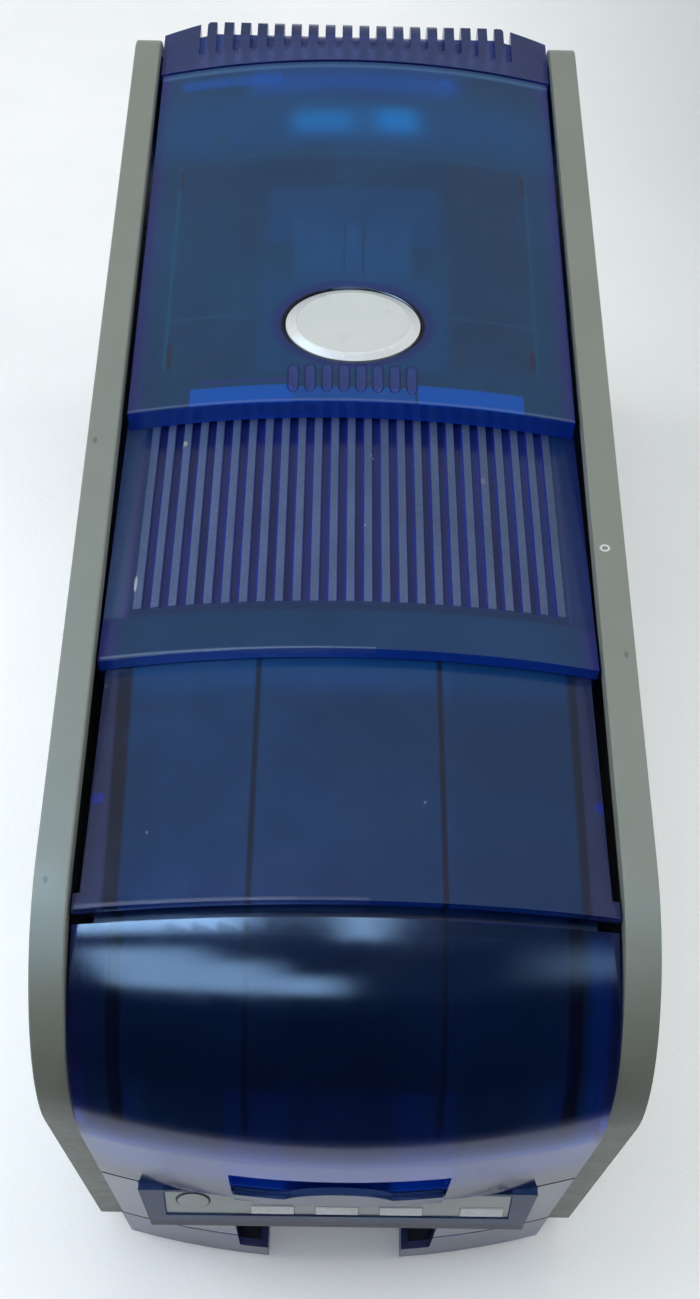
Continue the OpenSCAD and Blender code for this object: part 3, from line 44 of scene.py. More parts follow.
forward = Vector((math.sin(YAW) * math.cos(PITCH), math.cos(YAW) * math.cos(PITCH), -math.sin(PITCH)))
right0 = forward.cross(Vector((0, 0, 1))).normalized()
up0 = right0.cross(forward)
right = math.cos(ROLL) * right0 + math.sin(ROLL) * up0
up = -math.sin(ROLL) * right0 + math.cos(ROLL) * up0
cam_data = bpy.data.cameras.new("camera")
cam = bpy.data.objects.new("camera", cam_data)
scene.collection.objects.link(cam)
cam.matrix_world = Matrix.Translation(CAMERA_PLACE) @ Matrix((right, up, -forward)).transposed().to_4x4()
cam_data.sensor_width = SENSOR_MM
cam_data.lens = SENSOR_MM * FOCAL_PX / FRAME_H_PX
cam_data.clip_start, cam_data.clip_end = 0.01, 50
scene.camera = cam


# ---- Node helpers ----

# Joint lines across the front, in metres: their soft edge, and the half width that is blue
SEAM_SOFT, SEAM_BLUE_HALF = 0.0002, 0.046
SEAM_BLACK, SEAM_BLUE = (0.003, 0.003, 0.006), (0.008, 0.04, 0.6)


def rgba(value):
    """A colour of three parts gets its alpha; anything else stays."""
    return (*value, 1.0) if isinstance(value, tuple) and len(value) == 3 else value


class Tree:
    """A material's node tree with short calls for the nodes used here."""

    def __init__(self, name):
        self.mat = bpy.data.materials.new(name)
        self.mat.use_nodes = True
        self.nt = self.mat.node_tree
        self.bsdf = self.nt.nodes["Principled BSDF"]
        self.out = self.nt.nodes["Material Output"]
        self._coord = None
        self._plan = None

    def node(self, kind, **settings):
        n = self.nt.nodes.new(kind)
        for key, value in settings.items():
            setattr(n, key, value)
        return n

    def link(self, a, b):
        self.nt.links.new(a, b)

    def feed(self, socket, value):
        """Link a socket's output, or write a plain value."""
        if hasattr(value, "is_output"):
            self.link(value, socket)
        else:
            socket.default_value = rgba(value)

    @property
    def coord(self):
        if self._coord is None:
            self._coord = self.node("ShaderNodeTexCoord").outputs["Object"]
        return self._coord

    def xyz(self):
        """X, Y and Z in metres."""
        n = self.node("ShaderNodeSeparateXYZ")
        self.link(self.coord, n.inputs[0])
        return n.outputs

    def plan(self):
        """X and Y in millimetres, Y from the side panels' front edge."""
        if self._plan is None:
            x, y, _ = self.xyz()
            self._plan = self.math("MULTIPLY", x, 1000.0), self.math("MULTIPLY_ADD", y, 1000.0, MID_Y * 1000)
        return self._plan

    def math(self, op, a, b=0.0, c=0.0, clamp=False):
        n = self.node("ShaderNodeMath", operation=op, use_clamp=clamp)
        for socket, value in zip(n.inputs, (a, b, c)):
            self.feed(socket, value)
        return n.outputs[0]

    def times(self, a, b):
        return self.math("MULTIPLY", a, b)

    def length(self, a, b):
        """Length of a vector with these two parts."""
        return self.math("SQRT", self.math("ADD", self.times(a, a), self.times(b, b)))

    def remap(self, value, lo, hi, to_lo=0.0, to_hi=1.0):
        n = self.node("ShaderNodeMapRange", interpolation_type="SMOOTHSTEP")
        self.feed(n.inputs["Value"], value)
        for key, v in (("From Min", lo), ("From Max", hi), ("To Min", to_lo), ("To Max", to_hi)):
            n.inputs[key].default_value = v
        return n.outputs[0]

    def band(self, value, low, high, soft):
        """1 where the value lies between low and high, with soft edges."""
        rise = self.remap(value, low - soft, low + soft)
        return self.times(rise, self.remap(value, high - soft, high + soft, 1.0, 0.0))

    def noise(self, scale, detail=2.0, rough=0.5, stretch=(1, 1, 1)):
        mapping = self.node("ShaderNodeMapping")
        mapping.inputs["Scale"].default_value = stretch
        self.link(self.coord, mapping.inputs[0])
        n = self.node("ShaderNodeTexNoise")
        self.link(mapping.outputs[0], n.inputs["Vector"])
        for key, v in (("Scale", scale), ("Detail", detail), ("Roughness", rough)):
            n.inputs[key].default_value = v
        return n.outputs[0]

    def cloud(self, scale, detail=4, rough=0.6):
        """Noise spread over 0 to 1."""
        return self.remap(self.noise(scale, detail, rough), 0.3, 0.7)

    def specks(self, scale, size, share):
        """Sparse dots: a share of a scattered grid's points."""
        n = self.node("ShaderNodeTexVoronoi")
        self.link(self.coord, n.inputs["Vector"])
        n.inputs["Scale"].default_value = scale
        near = self.remap(n.outputs["Distance"], size * 0.6, size, 1.0, 0.0)
        parts = self.node("ShaderNodeSeparateColor")
        self.link(n.outputs["Color"], parts.inputs[0])
        return self.times(near, self.math("LESS_THAN", parts.outputs[0], share))

    def facing(self, axis, low=0.5, high=0.9):
        """1 where the surface faces along an axis, such as (0, -1, 0)."""
        normal = self.node("ShaderNodeTexCoord").outputs["Normal"]
        dot = self.node("ShaderNodeVectorMath", operation="DOT_PRODUCT")
        self.link(normal, dot.inputs[0])
        dot.inputs[1].default_value = axis
        return self.remap(dot.outputs["Value"], low, high)

    def ellipse(self, place, radii):
        """Distance in plan from a place, 1 on the ellipse with these radii."""
        parts = []
        for value, middle, radius in zip(self.plan(), place, radii):
            parts.append(self.math("DIVIDE", self.math("SUBTRACT", value, middle), radius))
        return self.length(*parts)

    def spot(self, place, radii):
        """Soft round mark in plan."""
        return self.remap(self.ellipse(place, radii), 0.7, 1.0, 1.0, 0.0)

    def patch(self, across, along, soft):
        """Mask of a mark in plan: across is (x0, x1, lean along Y), along is (y0, y1)."""
        x0, x1, lean = across
        x, y = self.plan()
        if lean:
            x = self.math("MULTIPLY_ADD", y, -lean, x)
        return self.times(self.band(x, x0, x1, soft), self.band(y, *along, soft))

    def mix(self, fac, a, b):
        n = self.node("ShaderNodeMix", data_type="RGBA")
        self.feed(n.inputs["Factor"], fac)
        for key, value in (("A", a), ("B", b)):
            self.feed([s for s in n.inputs if s.name == key and s.type == "RGBA"][0], value)
        return [s for s in n.outputs if s.type == "RGBA"][0]

    def lay(self, body, colour, mask, amount):
        """A colour over the body where the mask is 1, by this amount."""
        return self.mix(self.times(mask, amount), body, colour)

    def paint(self, body, marks):
        for across, along, soft, colour, amount in marks:
            body = self.lay(body, colour, self.patch(across, along, soft), amount)
        return body

    def seam(self, body, height, half):
        """Dark joint line across the front, blue where it nears the card slot."""
        x, _, z = self.xyz()
        line = self.band(z, height - half, height + half, SEAM_SOFT)
        near = self.band(self.math("ABSOLUTE", x), 0.0, SEAM_BLUE_HALF, 0.002)
        return self.mix(line, body, self.mix(near, SEAM_BLACK, SEAM_BLUE))

    def bump(self, height, distance, strength=1.0):
        n = self.node("ShaderNodeBump")
        n.inputs["Strength"].default_value = strength
        n.inputs["Distance"].default_value = distance
        self.link(height, n.inputs["Height"])
        return n.outputs[0]

    def set(self, **values):
        """Feed the shader's sockets, with _ for the spaces in their names."""
        for key, value in values.items():
            self.feed(self.bsdf.inputs[key.replace("_", " ")], value)

    def clear(self, tint=(1, 1, 1)):
        """Transparent shader."""
        n = self.node("ShaderNodeBsdfTransparent")
        n.inputs["Color"].default_value = rgba(tint)
        return n.outputs[0]

    def surface(self, fac, first, second):
        """Show a mix of two shaders."""
        n = self.node("ShaderNodeMixShader")
        for socket, value in zip(n.inputs, (fac, first, second)):
            self.link(value, socket)
        self.link(n.outputs[0], self.out.inputs["Surface"])


# ---- Plain plastics and metals ----

PLASTIC_VARY = 0.06
PLASTIC_GRAIN, PLASTIC_DEPTH = 1800, 2e-5
METAL_DEPTH = 1e-5


def plastic(name, colour, rough):
    """Moulded plastic: faint mottling, a fine grain and a roughness that drifts."""
    t = Tree(name)
    lighter = tuple(min(1, c * (1 + PLASTIC_VARY)) for c in colour)
    darker = tuple(c * (1 - PLASTIC_VARY) for c in colour)
    t.set(Base_Color=t.mix(t.cloud(38), darker, lighter))
    t.set(Roughness=t.remap(t.noise(120, 5, 0.7), 0.3, 0.75, rough * 0.85, rough * 1.15))
    t.set(Normal=t.bump(t.noise(PLASTIC_GRAIN, 3, 0.6), PLASTIC_DEPTH))
    return t.mat


def metal(name, colour, rough, stretch=(1, 1, 1)):
    """Brushed metal; the stretch draws the brush marks out along an axis."""
    t = Tree(name)
    brush = t.noise(700, 3, 0.6, stretch)
    t.set(Base_Color=t.mix(t.cloud(60, 3, 0.5), tuple(c * 0.9 for c in colour), colour))
    t.set(Roughness=t.remap(brush, 0.3, 0.7, rough * 0.7, rough * 1.3), Metallic=1.0)
    t.set(Normal=t.bump(brush, METAL_DEPTH))
    return t.mat


# ---- Covers: tinted clear plastic ----

IOR = 1.5
SHADOW_TINT = (0.16, 0.28, 0.52)
VIOLET = (0.06, 0.045, 0.40)
VIOLET_FROM, VIOLET_TO = 68.0, 78.0
# Colour of the painted glow on faces that look frontward
PAINTED_GLOW_BLUE = (0.012, 0.14, 1.0)
DUST = (0.30, 0.34, 0.52)
FRONTWARD, UPWARD = (0, -1, 0), (0, 0, 1)


def glaze(t, clear):
    """Clear plastic with this transmission; lamps shine through it, tinted, where it casts its shadow."""
    t.set(Transmission_Weight=clear, IOR=IOR)
    path = t.node("ShaderNodeLightPath")
    t.surface(path.outputs["Is Shadow Ray"], t.bsdf.outputs[0], t.clear(SHADOW_TINT))
    return t.mat


def blue_body(t, tint, violet=0.8, front_glow=0.8):
    """Cloudy blue that turns violet at the sides, with a painted blue glow on the faces that look frontward.
    """
    x, _ = t.plan()
    body = t.mix(t.cloud(22), tuple(0.86 * c for c in tint), tuple(1.14 * c for c in tint))
    body = t.lay(body, VIOLET, t.remap(t.math("ABSOLUTE", x), VIOLET_FROM, VIOLET_TO), violet)
    # painted glow: bright blue laid on the faces that look frontward
    return t.lay(body, PAINTED_GLOW_BLUE, t.facing(FRONTWARD), front_glow)


def satin(t, rough, scratch=2e-6):
    """Roughness that drifts between two values, and faint fine scratches."""
    t.set(Roughness=t.remap(t.noise(55, 6, 0.65), 0.35, 0.75, *rough))
    t.set(Normal=t.bump(t.noise(900, 3, 0.6), scratch, 0.4))


def dusty(t, body, share=0.12, amount=0.35):
    """Faint dust in drifts and a few pale specks."""
    drift = t.remap(t.noise(700, 5, 0.75), 0.52, 0.72)
    patchy = t.times(drift, t.remap(t.noise(26, 3), 0.4, 0.7))
    return t.lay(t.lay(body, DUST, patchy, amount), DUST, t.specks(170, 0.05, share), 0.6)


def clear_blue(name, tint, clear, rough, seam=None, **body):
    """A plain cover; seam is the height and half width of a joint line across its front."""
    t = Tree(name)
    colour = dusty(t, blue_body(t, tint, **body))
    t.set(Base_Color=t.seam(colour, *seam) if seam else colour)
    satin(t, rough)
    return glaze(t, clear)


def edge_glow_material():
    """Rounded edges of the covers, painted a brighter blue as a glow where they gather the light."""
    t = Tree("edge_glow_blue")
    t.set(Base_Color=t.mix(t.cloud(60, 3, 0.5), (0.03, 0.05, 0.42), (0.06, 0.09, 0.62)), Roughness=0.12)
    return glaze(t, 0.6)


# Colours of painted glows
BRIGHT_GLOW_PAINT = (0.0, 0.15, 0.70)
CYAN_GLOW_PAINT = (0.0, 0.30, 0.80)
# Marks painted in plan, in millimetres: (x0, x1, lean along Y), (y0, y1), soft edge, colour, amount
REAR_MARKS = [
    ((-90, 90, 0), (341, 372), 10, (0.0096, 0.12, 0.336), 0.6),
    ((-32.5, 32.5, 0), (234, 277), 1.2, (0.0096, 0.108, 0.32), 0.45),
    ((-31, 31, 0), (293, 322), 2.5, (0.0096, 0.108, 0.336), 0.5),
    ((-20, 20, 0), (277, 293), 3, (0.0096, 0.108, 0.336), 0.5),
    ((34, 63, 0), (238, 337), 1.5, (0.024, 0.068, 0.16), 0.5),
    ((-63, -34, 0), (238, 337), 1.5, (0.016, 0.08, 0.2), 0.4),
    ((-65, -64, 0), (237, 337), 0.4, (0.016, 0.16, 0.336), 0.55),
    ((63.3, 64.3, 0), (237, 337), 0.4, (0.016, 0.144, 0.32), 0.5),
    ((-64, -34, 0), (259.6, 260.4), 0.3, (0.016, 0.16, 0.336), 0.55),
    ((33.5, 63.6, 0), (259.6, 260.4), 0.3, (0.016, 0.16, 0.336), 0.5),
    ((37, 63, 0), (314.7, 315.3), 0.3, (0.016, 0.144, 0.32), 0.45),
    ((-54, 54, 0), (338.6, 340), 0.5, (0.016, 0.152, 0.288), 0.4),
    ((-3.6, -3, 0), (278, 305), 0.4, (0.0032, 0.024, 0.08), 0.45),
    ((3, 3.6, 0), (278, 305), 0.4, (0.0032, 0.024, 0.08), 0.45),
    ((-64.8, -63.4, 0), (325, 335), 0.5, (0.048, 0.024, 0.048), 0.6),
    ((-63.8, -62.2, 0), (238, 249), 0.5, (0.048, 0.024, 0.048), 0.6),
    ((61.4, 63, 0), (241, 249), 0.5, (0.056, 0.024, 0.056), 0.6),
    ((61.9, 63.3, 0), (325, 335), 0.5, (0.056, 0.024, 0.056), 0.5),
    # painted glows: cyan spots and bright strips near the rear edge
    ((-24, 26, 0), (350, 366), 8, CYAN_GLOW_PAINT, 0.35),
    ((-23, -2, 0), (352, 362), 5, CYAN_GLOW_PAINT, 0.6),
    ((9, 23, 0), (353, 364), 5, CYAN_GLOW_PAINT, 0.9),
    ((-67, -28.6, 0), (379.5, 385), 1.2, BRIGHT_GLOW_PAINT, 0.5),
    ((-40, 40, 0), (374, 386), 6, BRIGHT_GLOW_PAINT, 0.5),
    ((33, 37, 0), (380, 384), 0.8, BRIGHT_GLOW_PAINT, 0.5),
    # painted highlight along the rear edge
    ((-90, 90, 0), (387.5, 389.5), 0.6, (0.12, 0.32, 0.64), 0.5),
    # painted glow along the front lip
    ((-55.5, -21, 0.004), (220.5, 228), 0.4, BRIGHT_GLOW_PAINT, 0.95),
    ((21, 57, 0.004), (220.5, 228.5), 0.4, BRIGHT_GLOW_PAINT, 0.95),
    ((-21, 21, 0), (220.5, 227), 0.4, BRIGHT_GLOW_PAINT, 0.6),
    ((-52, -17, 0), (230, 230.7), 0.3, (0.064, 0.048, 0.44), 0.8),
    # painted highlight along the lip's upper edge
    ((-90, 90, 0), (221.0, 221.7), 0.3, (0.25, 0.32, 0.7), 0.5),
]
# The round button: its place and radii
BUTTON = (0, 255.2), (23.2, 16.3)
BUTTON_GAP, BUTTON_HOLLOW_PAINTED_SHEEN = (0.002, 0.002, 0.012), (0.03, 0.03, 0.26)
# The eight grip grooves: pitch, half length of their straight part, middle along Y, radius
GRIP_PITCH, GRIP_HALF, GRIP_MID, GRIP_R = 5.7, 3.9, 230.9, 1.9
GRIP_FIELD = 4 * GRIP_PITCH
# painted highlight inside the grooves and painted shade ring round them
GRIP_INNER_HIGHLIGHT, GRIP_RING_SHADE = (0.07, 0.09, 0.45), (0.006, 0.006, 0.14)


def rear_cover_blue():
    """Deep blue with the marks under it, painted glows and highlights, a dark gap round the button with a
    painted sheen round it, and painted highlights inside the grooves with painted shade round them.
    """
    t = Tree("rear_cover_blue")
    body = t.paint(blue_body(t, (0.0128, 0.086, 0.215), front_glow=1.0), REAR_MARKS)
    x, y = t.plan()
    round_button = t.ellipse(*BUTTON)
    # painted sheen: violet ring over the hollow round the button
    body = t.lay(body, BUTTON_HOLLOW_PAINTED_SHEEN, t.band(round_button, 0.9, 1.22, 0.04), 0.6)
    body = t.mix(t.band(round_button, 0.9, 1.07, 0.012), body, BUTTON_GAP)
    across = t.math("WRAP", t.math("SUBTRACT", x, GRIP_PITCH / 2), GRIP_PITCH / 2, -GRIP_PITCH / 2)
    past_end = t.math("SUBTRACT", t.math("ABSOLUTE", t.math("SUBTRACT", y, GRIP_MID)), GRIP_HALF)
    far = t.length(across, t.math("MAXIMUM", past_end, 0))
    field = t.band(x, -GRIP_FIELD, GRIP_FIELD, 0.1)
    grip_highlight = t.times(t.remap(far, GRIP_R - 0.6, GRIP_R - 0.2, 1, 0), field)
    ring = t.times(t.band(far, GRIP_R - 0.35, GRIP_R + 0.15, 0.2), field)
    # painted highlight inside each groove, painted shade round its edge
    body = t.lay(body, GRIP_INNER_HIGHLIGHT, grip_highlight, 0.55)
    body = t.lay(body, GRIP_RING_SHADE, ring, 0.85)
    t.set(Base_Color=dusty(t, body, 0.05, 0.2))
    satin(t, (0.16, 0.26))
    return glaze(t, 0.55)


DOOR_MARKS = [
    ((-90, 90, 0), (114, 130), 5, (0.012, 0.15, 0.46), 0.75),
    ((-90, 90, 0), (30, 60), 10, (0.01, 0.06, 0.26), 0.5),
    ((-90, -66.3, -0.0314), (30, 130), 0.8, (0.09, 0.10, 0.26), 0.75),
    ((67.2, 90, 0.0165), (30, 130), 0.8, (0.07, 0.08, 0.24), 0.75),
    ((-66.6, -62.1, -0.0314), (30, 130), 0.6, (0.02, 0.012, 0.02), 0.75),
    ((64.8, 67.5, 0.0165), (30, 130), 0.5, (0.02, 0.010, 0.02), 0.75),
    ((-28.1, -26.5, 0), (30, 130), 0.35, (0.004, 0.008, 0.03), 0.75),
    ((26.5, 28.1, 0), (30, 130), 0.35, (0.02, 0.010, 0.03), 0.75),
    ((29, 66, 0.0165), (30, 130), 1.5, (0.012, 0.07, 0.22), 0.35),
    # painted highlight along the door's front edge
    ((-76, -14, 0), (44.9, 45.9), 0.3, (0.4, 0.46, 0.7), 0.35),
    ((-76, 6, 0), (44.9, 45.9), 0.3, (0.4, 0.46, 0.7), 0.35),
]
# Round marks: place and radii
DOOR_GLOWS = [((-72.8, 79.3), (2.6, 2.2)), ((74, 78.8), (2.6, 2.2))]
DOOR_NICKS = [((-57, 67), (0.5, 0.5)), ((-73.8, 118), (0.5, 0.5)), ((22, 76), (0.5, 0.5))]


def hopper_door_blue():
    """Mid blue with dark guide lines, a glow at each side, a painted highlight along the front edge and three
    pale nicks.
    """
    t = Tree("hopper_door_blue")
    body = t.paint(blue_body(t, (0.015, 0.095, 0.29)), DOOR_MARKS)
    for spots, colour in ((DOOR_GLOWS, (0.04, 0.08, 0.9)), (DOOR_NICKS, (0.5, 0.55, 0.7))):
        for place, radii in spots:
            body = t.lay(body, colour, t.spot(place, radii), 0.8)
    t.set(Base_Color=dusty(t, body, 0.05, 0.12))
    satin(t, (0.13, 0.22))
    return glaze(t, 0.7)


FRONT_MARKS = [
    ((-28.1, -26.5, 0), (-10, 60), 0.35, (0.02, 0.01, 0.03), 0.4),
    ((26.5, 28.1, 0), (-10, 60), 0.35, (0.02, 0.01, 0.03), 0.4),
    ((-66, -62, 0), (-10, 60), 0.6, (0.015, 0.01, 0.02), 0.7),
    ((62, 66, 0), (-10, 60), 0.6, (0.015, 0.01, 0.02), 0.7),
    # painted glow at the right side
    ((68, 74, 0), (-10, 40), 2, (0.01, 0.12, 0.8), 0.5),
]
# Joint lines: height and half width in metres
FRONT_SEAM, BEZEL_SEAM, BASE_SEAM = (0.1077, 0.0006), (0.1061, 0.0014), (0.0384, 0.0014)


def front_cover_blue():
    """Very deep blue, darker below the curve, with a painted blue glow in a band across the curve and a
    painted glow at the right side.
    """
    t = Tree("front_cover_blue")
    z = t.xyz()[2]
    body = t.paint(blue_body(t, (0.016, 0.056, 0.21), front_glow=0.0, violet=0.5), FRONT_MARKS)
    body = t.mix(t.remap(z, 0.128, 0.15, 1.0, 0.0), body, (0.005, 0.03, 0.2))
    # painted glow: a band of bright blue across the curve
    body = t.lay(body, (0.01, 0.16, 1.0), t.band(z, 0.128, 0.165, 0.015), 0.9)
    t.set(Base_Color=t.seam(dusty(t, body, 0.03, 0.06), *FRONT_SEAM))
    satin(t, (0.11, 0.17), 1e-6)
    return glaze(t, 0.87)


BRIDGE_MARKS = [
    # painted shadow below the rib ends
    ((-90, 90, 0), (139.5, 143.2), 0.6, (0.012, 0.03, 0.13), 0.6),
    ((-90, -69.5, 0), (140, 230), 0.6, (0.10, 0.19, 0.40), 0.75),
    ((69.5, 90, 0), (140, 230), 0.6, (0.02, 0.06, 0.26), 0.6),
    ((-71, -68.6, 0), (140, 216), 0.4, (0.10, 0.05, 0.35), 0.4),
    ((68.4, 69.4, 0), (140, 216), 0.3, (0.10, 0.06, 0.40), 0.5),
    ((-55, 57, 0), (216, 224), 0.6, (0.01, 0.03, 0.5), 0.7),
    # painted highlight along the front edge
    ((-76, -6, 0), (124.9, 125.7), 0.3, (0.3, 0.42, 0.6), 0.35),
    ((-76, 8, 0), (124.9, 125.7), 0.3, (0.3, 0.42, 0.6), 0.5),
]
# The ribs: pitch, half width of a top, and half width and ends of their field
RIB_PITCH, RIB_HALF = 5.5102, 1.35
RIB_FIELD, RIB_FRONT, RIB_REAR = 67.6, 143, 230
VALLEY_DARK, VALLEY_PALE = (0.012, 0.025, 0.15), (0.03, 0.05, 0.27)
TOP_DARK, TOP_PALE = (0.085, 0.13, 0.27), (0.12, 0.175, 0.345)
TOP_DUST, TOP_SPECK = (0.26, 0.30, 0.44), (0.5, 0.53, 0.62)
RIB_SHADE, RIB_GLOW = (0.004, 0.006, 0.07), (0.01, 0.05, 0.7)
# Nicks and crumbs: place, radii, colour
BRIDGE_NICKS = [
    ((-55.9, 211.5), (1.1, 1.3), (0.7, 0.66, 0.5)),
    ((-67.4, 153), (0.6, 3.6), (0.75, 0.78, 0.85)),
    ((43.5, 195.9), (0.9, 1.5), (0.28, 0.30, 0.4)),
    ((6.9, 203.7), (0.6, 0.5), (0.6, 0.64, 0.75)),
    ((4.4, 173.6), (0.5, 0.5), (0.6, 0.64, 0.75)),
]


def bridge_blue():
    """Blue with dusty rib tops, each with a painted shade line along one side and a painted glow along the
    other; painted shadow below the ribs and a painted highlight along the front edge.
    """
    t = Tree("bridge_blue")
    x, y = t.plan()
    body = t.paint(blue_body(t, (0.012, 0.075, 0.215)), BRIDGE_MARKS)
    field = t.times(t.band(x, -RIB_FIELD, RIB_FIELD, 0.3), t.band(y, RIB_FRONT, RIB_REAR, 0.2))
    valley = t.mix(t.remap(t.noise(9, 3, 0.6, (6, 1, 1)), 0.35, 0.65), VALLEY_DARK, VALLEY_PALE)
    body = t.mix(field, body, valley)
    top = t.mix(t.cloud(30), TOP_DARK, TOP_PALE)
    top = t.lay(top, TOP_DUST, t.remap(t.noise(650, 5, 0.85), 0.48, 0.7), 0.45)
    top = t.mix(t.specks(240, 0.12, 0.06), top, TOP_SPECK)
    across = t.math("WRAP", x, RIB_PITCH / 2, -RIB_PITCH / 2)
    on_top = t.times(t.band(across, -RIB_HALF, RIB_HALF, 0.12), field)
    shade = t.times(t.band(across, RIB_HALF, RIB_HALF + 0.45, 0.12), field)
    glow = t.times(t.band(across, -RIB_HALF - 0.6, -RIB_HALF - 0.1, 0.15), field)
    body = t.mix(on_top, body, top)
    body = t.lay(body, RIB_SHADE, shade, 0.9)
    body = t.lay(body, RIB_GLOW, glow, 0.6)
    for place, radii, colour in BRIDGE_NICKS:
        body = t.mix(t.spot(place, radii), body, colour)
    t.set(Base_Color=body)
    t.set(Roughness=t.math("MULTIPLY_ADD", on_top, 0.25, 0.2))
    t.set(Normal=t.bump(t.noise(1500, 3, 0.7), 1.2e-5))
    return glaze(t, 0.55)


def vent_blue():
    """Hazy violet-blue on top and deep blue on the fins' walls: painted light on the faces that look up,
    painted shade on the walls.
    """
    t = Tree("vent_blue")
    body = blue_body(t, (0.055, 0.085, 0.27), violet=0.4, front_glow=0.0)
    # painted light on faces that look up, painted shade on the walls
    on_top = t.facing(UPWARD, 0.15, 0.7)
    t.set(Base_Color=dusty(t, t.mix(on_top, (0.008, 0.03, 0.30), body), 0.1, 0.3))
    satin(t, (0.18, 0.3))
    return glaze(t, 0.65)


# Height of the display frame's lower bar, where its blue changes
BAR_TOP, BAR_SOFT = 0.0853, 0.001


def frame_blue():
    """Display frame, deep blue along its lower bar."""
    t = Tree("frame_blue")
    body = blue_body(t, (0.06, 0.12, 0.32), violet=0.0, front_glow=0.0)
    above_bar = t.remap(t.xyz()[2], BAR_TOP, BAR_TOP + BAR_SOFT)
    t.set(Base_Color=dusty(t, t.mix(above_bar, (0.01, 0.03, 0.10), body)))
    satin(t, (0.1, 0.16))
    return glaze(t, 0.7)


def slot_blue():
    """Card guide: light gathers at its sides and leaves the middle darker."""
    t = Tree("slot_blue")
    x, _ = t.plan()
    side = t.remap(t.math("ABSOLUTE", x), 15.0, 19.0)
    t.set(Base_Color=dusty(t, t.mix(side, (0.008, 0.07, 0.42), (0.008, 0.17, 1.0)), 0.03, 0.1))
    satin(t, (0.14, 0.22))
    return glaze(t, 0.5)


# ---- Button and side panels ----

# The rim's painted light in front and painted shade at the rear, and the line and specks on the button
RIM_FRONT_LIGHT, RIM_REAR_SHADE = (0.80, 0.83, 0.81), (0.47, 0.50, 0.52)
SILVER_DARK, SILVER_PALE = (0.60, 0.655, 0.635), (0.66, 0.705, 0.685)
BUTTON_LINE, BUTTON_SPECK = (0.35, 0.38, 0.40), (0.3, 0.3, 0.28)


def button_paint():
    """Silver paint: a plateau, a line round it and a rim with painted light in front and painted shade at the
    rear.
    """
    t = Tree("button_paint")
    far = t.ellipse(*BUTTON)
    # painted light and shade on the rim, palest in front
    rim = t.mix(t.remap(t.plan()[1], 244.0, 268.0), RIM_FRONT_LIGHT, RIM_REAR_SHADE)
    body = t.mix(t.remap(far, 0.825, 0.85), t.mix(t.cloud(30), SILVER_DARK, SILVER_PALE), rim)
    body = t.lay(body, BUTTON_LINE, t.band(far, 0.832, 0.842, 0.006), 0.4)
    body = t.lay(body, BUTTON_SPECK, t.specks(300, 0.07, 0.03), 0.6)
    t.set(Base_Color=body, Roughness=t.remap(t.noise(120, 5, 0.7), 0.3, 0.75, 0.26, 0.36))
    t.set(Normal=t.bump(t.noise(2200, 3, 0.6), 1.5e-5))
    return t.mat


# The ring scuff on the right side panel: place, outer and inner radii
SCUFF, SCUFF_OUTER, SCUFF_INNER = (81, 167.3), (1.9, 1.6), (1.2, 0.9)
PANEL_NICKS = [((-84.7, 206.5), (0.9, 1.6)), ((84.5, 128), (0.7, 1.4)), ((-84, 52), (0.8, 1.2))]
PANEL_DARK, PANEL_PALE = (0.212, 0.229, 0.191), (0.226, 0.243, 0.203)


def panel_grey():
    """Grey-green paint with the ring scuff, small nicks along the edges and a few specks."""
    t = Tree("panel_grey")
    body = t.mix(t.cloud(24, 5), PANEL_DARK, PANEL_PALE)
    ring = t.math("SUBTRACT", t.spot(SCUFF, SCUFF_OUTER), t.spot(SCUFF, SCUFF_INNER), clamp=True)
    body = t.mix(ring, body, (0.72, 0.74, 0.70))
    for place, radii in PANEL_NICKS:
        body = t.lay(body, (0.10, 0.11, 0.10), t.spot(place, radii), 0.7)
    body = t.lay(body, (0.12, 0.13, 0.115), t.specks(90, 0.03, 0.12), 0.5)
    t.set(Base_Color=body, Roughness=t.remap(t.noise(160, 4, 0.7), 0.3, 0.7, 0.38, 0.5))
    t.set(Normal=t.bump(t.noise(2600, 2, 0.6), 2.5e-5))
    return t.mat


# ---- Which material goes where ----

# Slots of the record: colour and roughness
PLASTICS = {
    "lens_grey": ((0.42, 0.46, 0.46), 0.18),
    "board_green": ((0.02, 0.12, 0.05), 0.4),
    "light_white": ((0.75, 0.8, 0.8), 0.3),
    "button_silver": ((0.42, 0.46, 0.46), 0.25),
    "inner_dark": ((0.03, 0.03, 0.035), 0.45),
    "head_ceramic": ((0.5, 0.45, 0.35), 0.25),
    "rubber_black": ((0.02, 0.02, 0.02), 0.6),
    "cleaner_blue": ((0.08, 0.2, 0.5), 0.5),
    "bush_cream": ((0.7, 0.66, 0.52), 0.4),
    "film_black": ((0.02, 0.02, 0.03), 0.2),
}
METALS = {
    "steel": ((0.6, 0.6, 0.6), 0.3),
    "sheet_steel": ((0.5, 0.5, 0.5), 0.35, (1, 0.05, 1)),
    "aluminium": ((0.7, 0.7, 0.7), 0.3),
}
slots = {s["node"]: s["material_slot"] for s in frame["record"]["subparts"]}
by_slot = {name: plastic(name, *look) for name, look in PLASTICS.items()}
by_slot.update({name: metal(name, *look) for name, look in METALS.items()})
by_slot["clear_blue"] = clear_blue("clear_blue", (0.012, 0.10, 0.34), 0.85, (0.1, 0.18))
by_slot["panel_grey"] = panel_grey()

